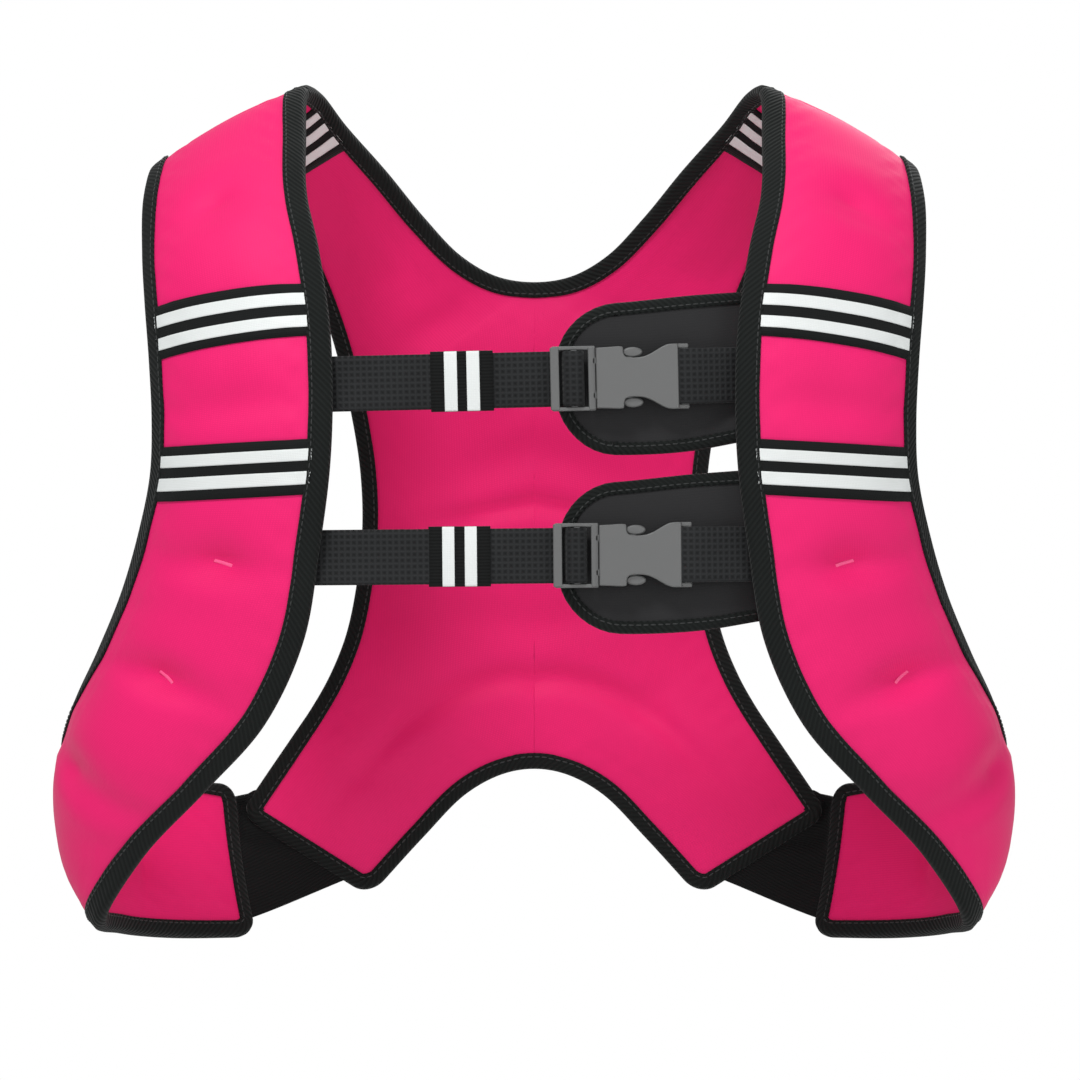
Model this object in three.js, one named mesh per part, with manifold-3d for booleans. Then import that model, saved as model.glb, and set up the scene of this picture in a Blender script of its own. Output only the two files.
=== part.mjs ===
// Weighted exercise vest in its worn shape. Millimetres, +Z up, the wearer's chest faces -Y.
// The origin is midway between the shoulders, where the straps rest.
import * as THREE from 'three';
import { mergeVertices } from 'three/addons/utils/BufferGeometryUtils.js';
import Module from 'manifold-3d';

const wasm = await Module();
wasm.setup();

// Overall form
const HALF_WIDTH = 225;
const HALF_DEPTH = 105;
const HEIGHT = 394;

// Padded neoprene
const PAD_THICKNESS = 18;
const EDGE_THICKNESS = 4;
const PAD_REACH = 38;
const OUTER_SHARE = 0.6;
const STRAP_BOW = 7;
const CORNER_RADIUS = 7;
const SEAM_GAP = 0.5;
const ACROSS_STEPS = 6;
const STEPS_PER_ROW = 2;
const EDGE_SAMPLES = 8;
const SLOPE_STEP = 0.02;

// Woven edge binding
const BINDING_LEG = 10;
const BINDING_WALL = 1.2;
const BINDING_GAP = 0.5;
const LEG_RELIEF = 0.75;

// Reflective tape
const TAPE_WIDTH = 24;
const TAPE_WALL = 0.8;
const STRIPE_WIDTH = 6.4;
const STRIPE_PITCH = 10.6;
const STRIPE_WALL = 0.5;
const SHOULDER_TAPE_WIDTH = 36;
const LAYER_GAP = 0.5;
const TAPE_STEPS = 2;

// Side elastic
const ELASTIC_WALL = 2;
const ELASTIC_BOW = 4;
const ELASTIC_STEPS = 3;

// Chest straps
const WEBBING_WIDTH = 25;
const WEBBING_WALL = 1.6;
const WEBBING_TUCK = 8;
const TAIL_PAST_KEEPER = 6;
const STRAP_GAP = 0.3;

// Side-release buckles
const BAR_THICKNESS = 4;
const FRAME_LENGTH = 21;
const FRAME_RIM = 2.2;
const FRONT_BAR = 4;
const FIRST_SLOT = 5.5;
const CENTRE_BAR = 3;
const SECOND_SLOT = 4.5;
const SLOT_CLEARANCE = 0.4;
const BODY_LENGTH = 43;
const BODY_THICKNESS = 9;
const BODY_WALL = 1.5;
const LATCH_FIT = 0.3;
const PRONG_LENGTH = 22;
const PRONG_WIDTH = 3.5;
const PRONG_HEAD = 3;
const END_FRAME = 12;
const END_BAR = 4;
const END_SLOT = 4.5;
const SEWN_RETURN = 12;
const PRONG_REACH = 0.66;

// Elastic keepers
const KEEPER_LENGTH = 28.5;
const KEEPER_WALL = 1.2;
const KEEPER_STRIPE = 5.4;
const KEEPER_STRIPE_PITCH = 10.4;

// Buckle backing pads
const BACKING_THICKNESS = 4;
const BACKING_RADIUS = 26;
const BACKING_LEG = 5;
const BACKING_STEPS = 8;

// Names the columns of a short table
const table = (columns, ...rows) => rows.map(
  (row) => Object.fromEntries(columns.map((column, index) => [column, row[index]])),
);

// Front panel sections from the shoulder, down the chest and round the side to the wing's end.
// Lengths are shares of half the width, half the depth and the height. The arm edge is the outer
// one, the chest edge is the inner one and becomes the wing's lower edge.
const FRONT_ROWS = table(
  ['armOut', 'armDeep', 'armRise', 'chestOut', 'chestDeep', 'chestRise', 'bow'],
  [0.784, 0.00, -0.006, 0.481, 0.00, 0.088, 1.0],
  [0.803, -0.27, -0.041, 0.484, -0.34, 0.029, 0.9],
  [0.802, -0.46, -0.106, 0.479, -0.62, -0.035, 0.8],
  [0.796, -0.56, -0.158, 0.453, -0.80, -0.100, 0.6],
  [0.786, -0.62, -0.229, 0.430, -0.93, -0.188, 0.5],
  [0.780, -0.64, -0.299, 0.424, -0.98, -0.276, 0.5],
  [0.784, -0.61, -0.364, 0.430, -0.98, -0.358, 0.6],
  [0.809, -0.53, -0.434, 0.451, -0.95, -0.450, 0.8],
  [0.846, -0.42, -0.505, 0.477, -0.89, -0.558, 1.0],
  [0.897, -0.28, -0.575, 0.547, -0.79, -0.654, 1.4],
  [0.950, -0.10, -0.640, 0.687, -0.62, -0.734, 1.7],
  [0.962, 0.10, -0.675, 0.831, -0.38, -0.808, 1.7],
  [0.928, 0.34, -0.701, 0.907, -0.08, -0.869, 1.6],
  [0.852, 0.53, -0.719, 0.883, 0.19, -0.898, 1.2],
  [0.749, 0.68, -0.731, 0.759, 0.47, -0.904, 1.0],
  [0.606, 0.80, -0.735, 0.572, 0.68, -0.904, 0.6],
);

// Back panel sections from the shoulder down to the leg's slanted end. The arm edge is the outer
// one. The inner edge is the neck as far as the neck's middle, then the panel's centre line, and
// from the arch's top the arch.
const BACK_ROWS = table(
  ['armOut', 'armDeep', 'armRise', 'innerOut', 'innerDeep', 'innerRise', 'bow'],
  [0.784, 0.00, -0.006, 0.481, 0.00, 0.088, 1.0],
  [0.739, 0.28, -0.023, 0.449, 0.20, 0.082, 0.9],
  [0.615, 0.54, -0.041, 0.399, 0.39, 0.048, 0.6],
  [0.502, 0.73, -0.067, 0.317, 0.59, -0.006, 0.4],
  [0.444, 0.85, -0.117, 0.224, 0.77, -0.067, 0.2],
  [0.399, 0.92, -0.176, 0.152, 0.88, -0.110, 0.0],
  [0.370, 0.95, -0.229, 0.080, 0.94, -0.134, 0.0],
  [0.346, 0.97, -0.288, 0.000, 0.96, -0.142, 0.0],
  [0.329, 0.98, -0.358, 0.000, 0.98, -0.276, 0.0],
  [0.323, 0.98, -0.428, 0.000, 0.99, -0.393, 0.0],
  [0.335, 0.98, -0.499, 0.000, 0.99, -0.511, 0.0],
  [0.364, 0.97, -0.558, 0.000, 0.98, -0.616, 0.0],
  [0.403, 0.95, -0.607, 0.000, 0.96, -0.705, 0.0],
  [0.451, 0.93, -0.646, 0.070, 0.96, -0.710, 0.0],
  [0.496, 0.90, -0.681, 0.148, 0.95, -0.737, 0.1],
  [0.543, 0.87, -0.716, 0.235, 0.93, -0.786, 0.2],
  [0.586, 0.84, -0.752, 0.337, 0.90, -0.846, 0.2],
);
const NECK_MIDDLE = 7;
const ARCH_MIDDLE = 12;

// Tacked dents: place across and along the panel, radii in millimetres, depth as a share of the pad
const DENT_COLUMNS = ['across', 'along', 'acrossRadius', 'alongRadius', 'depth'];
const FRONT_DENTS = table(
  DENT_COLUMNS,
  [0.50, 1.80, 12, 8, 0.35],
  [0.55, 7.25, 12, 10, 0.45],
  [0.48, 8.85, 12, 10, 0.45],
  [0.40, 10.65, 12, 12, 0.40],
  [0.50, 13.40, 9, 16, 0.35],
);
const BACK_DENTS = table(
  DENT_COLUMNS,
  [0.45, 4.60, 14, 12, 0.30],
  [1.00, 7.90, 14, 8, 0.35],
  [0.55, 9.20, 12, 7, 0.45],
  [0.80, 9.05, 14, 7, 0.45],
  [1.00, 9.00, 14, 7, 0.45],
  [1.00, 11.00, 18, 7, 0.45],
  [0.70, 11.60, 16, 8, 0.45],
  [0.45, 12.60, 16, 8, 0.35],
);

// Reflective tapes: where their middle crosses the arm edge and the other edge, in sections
const FRONT_TAPES = table(
  ['name', 'armRow', 'innerRow', 'inset'],
  ['upper', 3.55, 3.75, BINDING_LEG + LAYER_GAP],
  ['lower', 6.05, 6.02, BINDING_LEG + LAYER_GAP],
);
const SHOULDER_TAPE = { armRow: 1.55, innerRow: 1.62, inset: BINDING_LEG * 1.35 };

// Chest straps: rise of the end on the wearer's right, tilt in degrees, where the buckle begins
// and the keeper's middle sits, as shares of the half width, and how tightly the strap is drawn
// forward against the binding, as a share of the webbing's wall
const CHEST_STRAPS = table(
  ['name', 'rise', 'tilt', 'buckleOut', 'keeperOut', 'draw'],
  ['upper', -0.2575, 1.3, 0.035, -0.148, -0.12],
  ['lower', -0.4615, 0.5, 0.040, -0.153, 0.68],
);
const CHEST_LOWEST_ROW = 11;

// Backing pad sections from the front panel to the rounded end: how far it reaches above and
// below the strap, as shares of the height
const BACKING_ROWS = table(
  ['place', 'top', 'foot'],
  [0.00, 0.093, 0.075],
  [0.30, 0.088, 0.086],
  [0.66, 0.080, 0.090],
  [1.00, 0.076, 0.086],
);

// Upper half outline of the female buckle, shares of its length and half height
const FEMALE_OUTLINE = table(
  ['along', 'half'],
  [0.00, 0.93],
  [0.30, 0.98],
  [0.34, 0.95],
  [0.36, 0.60],
  [0.52, 0.60],
  [0.56, 0.74],
  [0.71, 0.93],
  [0.80, 1.00],
  [0.97, 1.00],
  [1.00, 0.92],
);

// A prong's barb: how far back from the tip and how far out, as shares of the prong's head
const PRONG_BARB = table(
  ['back', 'out'],
  [0.5, 0.6],
  [1.6, 1.0],
  [2.1, 0.0],
);

// Places across the wing's end where the side elastic is sewn
const ELASTIC_WING_SHARES = [0.90, 0.76, 0.62, 0.48, 0.34, 0.20, 0.06];

// Materials
const material = (name, colour, roughness, metalness = 0) => {
  const made = new THREE.MeshStandardMaterial({ color: colour, roughness, metalness });
  made.name = name;
  return made;
};
const pinkNeoprene = material('pink_neoprene', 0xec2a74, 0.72);
const blackBinding = material('black_binding', 0x202422, 0.85);
const blackTape = material('black_tape', 0x17191a, 0.7);
const whiteStripe = material('white_stripe', 0xe8ecea, 0.45);
const blackElastic = material('black_elastic', 0x18191a, 0.88);
const blackWebbing = material('black_webbing', 0x1c1e1f, 0.82);
const greyPlastic = material('grey_plastic', 0x626464, 0.38);
const blackNeoprene = material('black_neoprene', 0x2a2a2b, 0.85);

// Solids
function weld(geometry) {
  geometry.deleteAttribute('normal');
  geometry.deleteAttribute('uv');
  const welded = mergeVertices(geometry);
  const position = welded.attributes.position;
  const corners = welded.index.array;
  const [a, b, c] = [new THREE.Vector3(), new THREE.Vector3(), new THREE.Vector3()];
  let volume = 0;
  for (let i = 0; i < corners.length; i += 3) {
    a.fromBufferAttribute(position, corners[i]);
    b.fromBufferAttribute(position, corners[i + 1]);
    c.fromBufferAttribute(position, corners[i + 2]);
    volume += a.dot(b.cross(c));
  }
  if (volume < 0) {
    turnFacesOver(corners);
  }
  return welded;
}

function turnFacesOver(corners) {
  for (let i = 0; i < corners.length; i += 3) {
    [corners[i + 1], corners[i + 2]] = [corners[i + 2], corners[i + 1]];
  }
}

function mirrored(geometry) {
  const copy = geometry.clone();
  copy.applyMatrix4(new THREE.Matrix4().makeScale(-1, 1, 1));
  turnFacesOver(copy.index.array);
  return copy;
}

function toSolid(geometry) {
  const welded = weld(geometry.clone());
  return new wasm.Manifold(new wasm.Mesh({
    numProp: 3,
    vertProperties: new Float32Array(welded.attributes.position.array),
    triVerts: new Uint32Array(welded.index.array),
  }));
}

function fromSolid(solid) {
  const mesh = solid.getMesh();
  const geometry = new THREE.BufferGeometry();
  geometry.setAttribute('position', new THREE.BufferAttribute(mesh.vertProperties, 3));
  geometry.setIndex(new THREE.BufferAttribute(mesh.triVerts, 1));
  return geometry;
}

// A block of across x along x 1 cells bent into shape: place gets shares across and along, and
// the side, -1 or 1
function bentBlock(acrossSteps, alongSteps, place) {
  const block = new THREE.BoxGeometry(1, 1, 1, acrossSteps, alongSteps, 1);
  const position = block.attributes.position;
  for (let i = 0; i < position.count; i += 1) {
    const across = Math.round((position.getX(i) + 0.5) * acrossSteps) / acrossSteps;
    const along = Math.round((position.getY(i) + 0.5) * alongSteps) / alongSteps;
    const side = Math.sign(position.getZ(i));
    const point = place(across, along, side);
    position.setXYZ(i, point.x, point.y, point.z);
  }
  return weld(block);
}

// A smooth edge through table points, sharp at the breaks, with points beyond its ends that
// carry its direction on
class Edge {
  constructor(points, breaks, beyond) {
    const stops = [0, ...breaks, points.length - 1];
    this.spans = stops.slice(1).map((to, index) => {
      const from = stops[index];
      const { before, after } = beyond[index] ?? {};
      const knots = [
        ...(before ? [before] : []),
        ...points.slice(from, to + 1),
        ...(after ? [after] : []),
      ];
      const lead = before ? 1 : 0;
      return { from, to, lead, last: knots.length - 1, curve: new THREE.CatmullRomCurve3(knots) };
    });
  }

  at(row) {
    const span = this.spans.find(({ to }) => row <= to) ?? this.spans.at(-1);
    return span.curve.getPoint(Math.max(row - span.from + span.lead, 0) / span.last);
  }
}

function polyline(place, from, to) {
  const count = Math.ceil((to - from) * (to > 1 ? STEPS_PER_ROW : 1) * EDGE_SAMPLES);
  const points = Array.from({ length: count + 1 }, (_, index) => (
    place(THREE.MathUtils.lerp(from, to, index / count))
  ));
  return points.slice(1).map((point, index) => new THREE.Line3(points[index], point));
}

const mirrorPoint = (point) => new THREE.Vector3(-point.x, point.y, point.z);
const spot = (out, deep, rise) => new THREE.Vector3(
  -out * HALF_WIDTH,
  deep * HALF_DEPTH,
  rise * HEIGHT,
);

// A padded sheet of the wearer's right side, between an arm edge and an inner edge. Face is -1
// where its outside looks forward and 1 where it looks back.
class Sheet {
  constructor({ arm, inner, bows, face, centre, dents, edge, full, radius, steps }) {
    this.arm = arm;
    this.inner = inner;
    this.bows = bows;
    this.face = face;
    this.centre = centre;
    this.dents = dents;
    this.edge = edge;
    this.full = full;
    this.radius = radius;
    this.steps = steps;
    this.last = bows.length - 1;
    this.seam = SEAM_GAP / 2 / this.stretch(0.5, 0.01);
  }

  bow(row) {
    const low = Math.max(0, Math.min(this.last - 1, Math.floor(row)));
    return THREE.MathUtils.lerp(this.bows[low], this.bows[low + 1], row - low) * STRAP_BOW;
  }

  middle(share, row) {
    const ahead = THREE.MathUtils.clamp(row + SLOPE_STEP, 2 * SLOPE_STEP, this.last);
    const behind = ahead - 2 * SLOPE_STEP;
    const run = this.arm.at(ahead).add(this.inner.at(ahead))
      .sub(this.arm.at(behind)).sub(this.inner.at(behind));
    const arm = this.arm.at(row);
    const chord = this.inner.at(row).sub(arm);
    const out = run.cross(chord).normalize().multiplyScalar(-this.face);
    return arm.addScaledVector(chord, share)
      .addScaledVector(out, this.bow(row) * 4 * share * (1 - share));
  }

  slopes(share, row) {
    const right = Math.min(share + SLOPE_STEP, 1);
    const left = Math.max(right - 2 * SLOPE_STEP, 0);
    const ahead = THREE.MathUtils.clamp(row + SLOPE_STEP, 2 * SLOPE_STEP, this.last);
    const behind = ahead - 2 * SLOPE_STEP;
    return {
      across: this.middle(right, row).sub(this.middle(left, row)).divideScalar(right - left),
      along: this.middle(share, ahead).sub(this.middle(share, behind)).divideScalar(2 * SLOPE_STEP),
    };
  }

  stretch(share, row) {
    return this.slopes(share, row).along.length();
  }

  normal(share, row) {
    const { across, along } = this.slopes(share, row);
    return along.cross(across).normalize().multiplyScalar(-this.face);
  }

  width(row) {
    return this.arm.at(row).distanceTo(this.inner.at(row));
  }

  // The end row, rounded off at both corners
  endRow(share) {
    const toSide = Math.min(share, 1 - share) * this.width(this.last);
    const short = Math.max(this.radius - toSide, 0);
    const pull = this.radius - Math.sqrt(this.radius ** 2 - short ** 2);
    return this.last - pull / this.stretch(0.5, this.last);
  }

  row(share, along) {
    const plain = along * this.last;
    if (plain < 1) {
      return this.seam + plain * (1 - this.seam);
    }
    const whole = this.last - 1;
    return plain <= whole ? plain : whole + (plain - whole) * (this.endRow(share) - whole);
  }

  // The sewn edges that the padding thins out towards, each as a row of short lines
  sewnEdges() {
    this.sewn ??= [
      polyline((row) => this.arm.at(row), -1, this.last),
      ...this.innerEdges(),
      polyline((share) => this.middle(share, this.endRow(share)), 0, 1),
    ];
    return this.sewn;
  }

  innerEdges() {
    if (!this.centre) {
      return [polyline((row) => this.inner.at(row), -1, this.last)];
    }
    const [neck, arch] = this.centre;
    const halves = [[-1, neck], [arch, this.last]].map(([from, to]) => (
      polyline((row) => this.inner.at(row), from, to)
    ));
    return halves.map((lines) => [
      ...lines,
      ...lines.map(({ start, end }) => new THREE.Line3(mirrorPoint(start), mirrorPoint(end))),
    ]);
  }

  thickness(share, row) {
    const point = this.middle(share, row);
    let full = 1;
    for (const lines of this.sewnEdges()) {
      const distance = Math.min(...lines.map((line) => (
        line.closestPointToPoint(point, true, new THREE.Vector3()).distanceTo(point)
      )));
      full *= 1 - (1 - Math.min(distance / PAD_REACH, 1)) ** 2;
    }
    const width = this.width(row);
    const stretch = this.stretch(share, row);
    for (const dent of this.dents) {
      const aside = (share - dent.across) * width / dent.acrossRadius;
      const onward = (row - dent.along) * stretch / dent.alongRadius;
      full *= 1 - dent.depth * Math.exp(-(aside ** 2) - onward ** 2);
    }
    return this.edge + (this.full - this.edge) * full;
  }

  // A point over the outer face for side 1, over the inner face for side -1
  facePoint(share, row, side, lift = 0) {
    const swollen = this.thickness(share, row) - this.edge;
    const part = side > 0 ? OUTER_SHARE : 1 - OUTER_SHARE;
    const height = this.edge / 2 + swollen * part + lift;
    return this.middle(share, row).addScaledVector(this.normal(share, row), side * height);
  }

  solid() {
    return bentBlock(this.steps, this.last * STEPS_PER_ROW, (across, along, side) => (
      this.facePoint(across, this.row(across, along), side)
    ));
  }

  // The place on the sheet nearest to a target, searched from a first guess in shrinking steps
  settle(target, share, row) {
    let best = [share, row];
    let nearest = this.middle(...best).distanceTo(target);
    let reach = 1;
    while (reach > 0.01) {
      const tries = [[reach, 0], [-reach, 0], [0, reach], [0, -reach]].map(([across, along]) => [
        THREE.MathUtils.clamp(best[0] + across / 8, 0, 1),
        THREE.MathUtils.clamp(best[1] + along / 3, this.seam, this.last),
      ]);
      const found = tries.find((place) => this.middle(...place).distanceTo(target) < nearest);
      if (found) {
        best = found;
        nearest = this.middle(...best).distanceTo(target);
      } else {
        reach /= 2;
      }
    }
    return best;
  }
}

// The edge point, the normal and the way out of the sheet at a place on its rim
function rim(sheet, { place, tangent }) {
  const [share, row] = place;
  const edge = sheet.middle(share, row);
  const normal = sheet.normal(share, row);
  const outward = tangent.clone().cross(normal).normalize();
  if (outward.dot(sheet.middle(0.5, Math.min(row, sheet.last - 0.5)).sub(edge)) > 0) {
    outward.negate();
  }
  return { edge, normal, outward };
}

// One section of binding: the tape goes from the inner face round the edge to the outer face
function bindingRing(sheet, at, leg) {
  const { edge, normal, outward } = rim(sheet, at);
  const inset = edge.clone().addScaledVector(outward, -leg);
  const [s, t] = sheet.settle(inset, ...at.place);
  const middle = BINDING_GAP + BINDING_WALL / 2;
  const corner = sheet.edge / 2 + middle;
  return [-1, 1].map((layer) => {
    const lift = middle + layer * BINDING_WALL / 2;
    const square = corner + layer * BINDING_WALL / 2;
    return [
      sheet.facePoint(s, t, -1, lift + LEG_RELIEF),
      edge.clone().addScaledVector(outward, lift).addScaledVector(normal, -square),
      edge.clone().addScaledVector(outward, lift).addScaledVector(normal, square),
      sheet.facePoint(s, t, 1, lift + LEG_RELIEF),
    ];
  });
}

function bindingSolid(rings) {
  const steps = rings.length - 1;
  const turns = rings[0][0].length - 1;
  return bentBlock(turns, steps, (across, along, side) => (
    rings[Math.round(along * steps)][side > 0 ? 1 : 0][Math.round(across * turns)]
  ));
}

// Places along a sheet's sides and end, each with its tangent
function sidePlaces(sheet, share, from, to) {
  const count = Math.round(Math.abs(to - from) * STEPS_PER_ROW);
  const edge = share > 0.5 ? sheet.inner : sheet.arm;
  const [low, high] = [Math.min(from, to), Math.max(from, to)];
  return Array.from({ length: count + 1 }, (_, index) => {
    const row = sheet.row(share, THREE.MathUtils.lerp(from, to, index / count) / sheet.last);
    const ahead = Math.min(row + SLOPE_STEP, high);
    const start = low > 0 ? low + SLOPE_STEP / 10 : -1;
    const behind = Math.max(ahead - 2 * SLOPE_STEP, start);
    return { place: [share, row], tangent: edge.at(ahead).sub(edge.at(behind)) };
  });
}

function endPlaces(sheet) {
  const rows = Array.from({ length: sheet.steps + 1 }, (_, index) => {
    const share = 1 - index / sheet.steps;
    return [share, sheet.row(share, 1)];
  });
  return rows.map((place, index) => {
    const before = rows[index - 1] ?? [1, sheet.row(1, 1) - 10 * SLOPE_STEP];
    const after = rows[index + 1] ?? [0, sheet.row(0, 1) - 10 * SLOPE_STEP];
    return { place, tangent: sheet.middle(...after).sub(sheet.middle(...before)) };
  });
}

const ringsOf = (sheet, places, leg) => places.map((at) => bindingRing(sheet, at, leg));
const openRim = (sheet) => [
  ...sidePlaces(sheet, 1, 0, sheet.last).slice(0, -1),
  ...endPlaces(sheet),
  ...sidePlaces(sheet, 0, sheet.last, 0).slice(1),
];
const mirroredRings = (rings) => rings.map((ring) => ring.map((layer) => layer.map(mirrorPoint)));

// The two sheets
const padded = {
  edge: EDGE_THICKNESS,
  full: PAD_THICKNESS,
  radius: CORNER_RADIUS,
  steps: ACROSS_STEPS,
};
const frontArm = FRONT_ROWS.map((row) => spot(row.armOut, row.armDeep, row.armRise));
const frontChest = FRONT_ROWS.map((row) => spot(row.chestOut, row.chestDeep, row.chestRise));
const backArm = BACK_ROWS.map((row) => spot(row.armOut, row.armDeep, row.armRise));
const backInner = BACK_ROWS.map((row) => spot(row.innerOut, row.innerDeep, row.innerRise));

const front = new Sheet({
  arm: new Edge(frontArm, [], [{ before: backArm[1] }]),
  inner: new Edge(frontChest, [], [{ before: backInner[1] }]),
  bows: FRONT_ROWS.map((row) => row.bow),
  face: -1,
  dents: FRONT_DENTS,
  ...padded,
});
const back = new Sheet({
  arm: new Edge(backArm, [], [{ before: frontArm[1] }]),
  inner: new Edge(backInner, [NECK_MIDDLE, ARCH_MIDDLE], [
    { before: frontChest[1], after: mirrorPoint(backInner[NECK_MIDDLE - 1]) },
    {},
    { before: mirrorPoint(backInner[ARCH_MIDDLE + 1]) },
  ]),
  bows: BACK_ROWS.map((row) => row.bow),
  face: 1,
  centre: [NECK_MIDDLE, ARCH_MIDDLE],
  dents: BACK_DENTS,
  ...padded,
});

// Vest body
const vest = new THREE.Group();

function add(parent, name, geometry, finish) {
  const mesh = new THREE.Mesh(geometry, finish);
  mesh.name = name;
  parent.add(mesh);
  return mesh;
}

function addPair(name, geometry, finish) {
  add(vest, `${name}_right_side`, geometry, finish);
  add(vest, `${name}_left_side`, mirrored(geometry), finish);
}

addPair('front_panel', front.solid(), pinkNeoprene);

const backHalf = back.solid();
const backPanel = toSolid(backHalf).add(toSolid(mirrored(backHalf)));
add(vest, 'back_panel', fromSolid(backPanel), pinkNeoprene);

// Bindings
addPair('front_binding', bindingSolid(ringsOf(front, openRim(front), BINDING_LEG)), blackBinding);

const neckRings = ringsOf(back, sidePlaces(back, 1, 0, NECK_MIDDLE), BINDING_LEG);
const neckBinding = bindingSolid([
  ...neckRings,
  ...mirroredRings(neckRings.slice(0, -1)).reverse(),
]);
add(vest, 'neck_binding', neckBinding, blackBinding);

const backPlaces = [
  ...sidePlaces(back, 1, ARCH_MIDDLE, back.last).slice(0, -1),
  ...endPlaces(back),
  ...sidePlaces(back, 0, back.last, 0).slice(1),
];
const backRings = ringsOf(back, backPlaces, BINDING_LEG);
const backBinding = bindingSolid([
  ...mirroredRings(backRings.slice(1)).reverse(),
  ...backRings,
]);
add(vest, 'back_binding', backBinding, blackBinding);

// Reflective tapes: strips across a sheet, offset from its face
function stripAcross(sheet, tape, offset, width, side, lift, wall) {
  return bentBlock(ACROSS_STEPS, TAPE_STEPS, (across, along, layer) => {
    const centre = THREE.MathUtils.lerp(tape.armRow, tape.innerRow, across);
    const margin = tape.inset / sheet.width(centre);
    const share = THREE.MathUtils.clamp(across, margin, 1 - margin);
    const row = centre + (offset + (along - 0.5) * width) / sheet.stretch(share, centre);
    return sheet.facePoint(share, row, side, lift + (layer + 1) * wall / 2);
  });
}

const tapeLift = LAYER_GAP;
const stripeLift = tapeLift + TAPE_WALL + LAYER_GAP;
for (const tape of FRONT_TAPES) {
  const name = `chest_tape_${tape.name}`;
  addPair(name, stripAcross(front, tape, 0, TAPE_WIDTH, 1, tapeLift, TAPE_WALL), blackTape);
  for (const [index, turn] of [-0.5, 0.5].entries()) {
    const offset = turn * STRIPE_PITCH;
    const stripe = stripAcross(front, tape, offset, STRIPE_WIDTH, 1, stripeLift, STRIPE_WALL);
    addPair(`${name}_stripe_${index + 1}`, stripe, whiteStripe);
  }
}
const shoulderTape = stripAcross(
  back,
  SHOULDER_TAPE,
  0,
  SHOULDER_TAPE_WIDTH,
  -1,
  tapeLift,
  TAPE_WALL,
);
addPair('shoulder_tape', shoulderTape, blackTape);
for (const [index, turn] of [-1, 0, 1].entries()) {
  const offset = turn * STRIPE_PITCH;
  const stripe = stripAcross(
    back,
    SHOULDER_TAPE,
    offset,
    STRIPE_WIDTH,
    -1,
    stripeLift,
    STRIPE_WALL,
  );
  addPair(`shoulder_stripe_${index + 1}`, stripe, whiteStripe);
}

// Side elastic: from the wing's end to the back panel's slanted end and the corner above it
const elasticClearance = BINDING_GAP + BINDING_WALL + LAYER_GAP;
const wingStops = ELASTIC_WING_SHARES.map((share) => {
  const nearby = [share + SLOPE_STEP, share - SLOPE_STEP].map((near) => (
    front.middle(near, front.row(near, 1))
  ));
  return { place: [share, front.row(share, 1)], tangent: nearby[1].sub(nearby[0]) };
});
const backStops = [
  ...endPlaces(back).slice(1),
  sidePlaces(back, 0, back.last - 1, back.last)[1],
];
const elasticEnds = [[front, wingStops], [back, backStops]].map(([sheet, stops]) => (
  stops.map((stop) => {
    const { edge, normal, outward } = rim(sheet, stop);
    return { point: edge.addScaledVector(outward, elasticClearance), normal };
  })
));
const elastic = bentBlock(wingStops.length - 1, ELASTIC_STEPS, (across, along, side) => {
  const index = Math.round(across * (wingStops.length - 1));
  const [wing, slant] = elasticEnds.map((stops) => stops[index]);
  const out = wing.normal.clone().lerp(slant.normal, along).normalize();
  const bow = ELASTIC_BOW * 4 * along * (1 - along);
  return wing.point.clone().lerp(slant.point, along)
    .addScaledVector(out, bow + side * ELASTIC_WALL / 2);
});
addPair('side_elastic', elastic, blackElastic);

// Flat webbing: a path in plan, given its wall and its width
function ribbon(path, wall, width) {
  const ends = path.map((point, index) => {
    const before = path[Math.max(index - 1, 0)];
    const after = path[Math.min(index + 1, path.length - 1)];
    const arrive = point.clone().sub(before).normalize();
    const leave = after.clone().sub(point).normalize();
    const run = arrive.clone().add(leave).normalize();
    const turn = Math.max(run.dot(index > 0 ? arrive : leave), 0.5);
    const aside = new THREE.Vector2(-run.y, run.x).multiplyScalar(wall / 2 / turn);
    return [point.clone().add(aside), point.clone().sub(aside)];
  });
  const outline = [
    ...ends.map(([left]) => left),
    ...ends.map(([, right]) => right).reverse(),
  ];
  const geometry = new THREE.ExtrudeGeometry(
    new THREE.Shape(outline),
    { depth: width, bevelEnabled: false, steps: 1 },
  );
  geometry.translate(0, 0, -width / 2);
  return weld(geometry);
}

// A plate that faces the chest, from its outline along the strap and up
function plate(outline, thickness) {
  const shape = new THREE.Shape(outline);
  const geometry = new THREE.ExtrudeGeometry(shape, { depth: thickness, bevelEnabled: false });
  geometry.rotateX(Math.PI / 2);
  geometry.translate(0, thickness / 2, 0);
  return toSolid(geometry);
}

const at = (x, y) => new THREE.Vector2(x, y);
const oblong = (left, right, half) => [at(left, -half), at(right, -half), at(right, half),
  at(left, half)];

// An outline with its corners cut, from the upper half's points
const upAndDown = (points) => [
  ...points,
  ...points.map((point) => at(point.x, -point.y)).reverse(),
];

// Buckle sizes that follow the webbing
const SLOT_HALF = WEBBING_WIDTH / 2 + SLOT_CLEARANCE;
const BUCKLE_HALF = SLOT_HALF + FRAME_RIM;
const strandOffset = BAR_THICKNESS / 2 + STRAP_GAP + WEBBING_WALL / 2;
const returnOffset = strandOffset + WEBBING_WALL + STRAP_GAP;
const firstSlotEnd = FRONT_BAR + FIRST_SLOT;
const secondSlotStart = firstSlotEnd + CENTRE_BAR;
const prongOuter = BUCKLE_HALF * PRONG_REACH;

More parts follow.
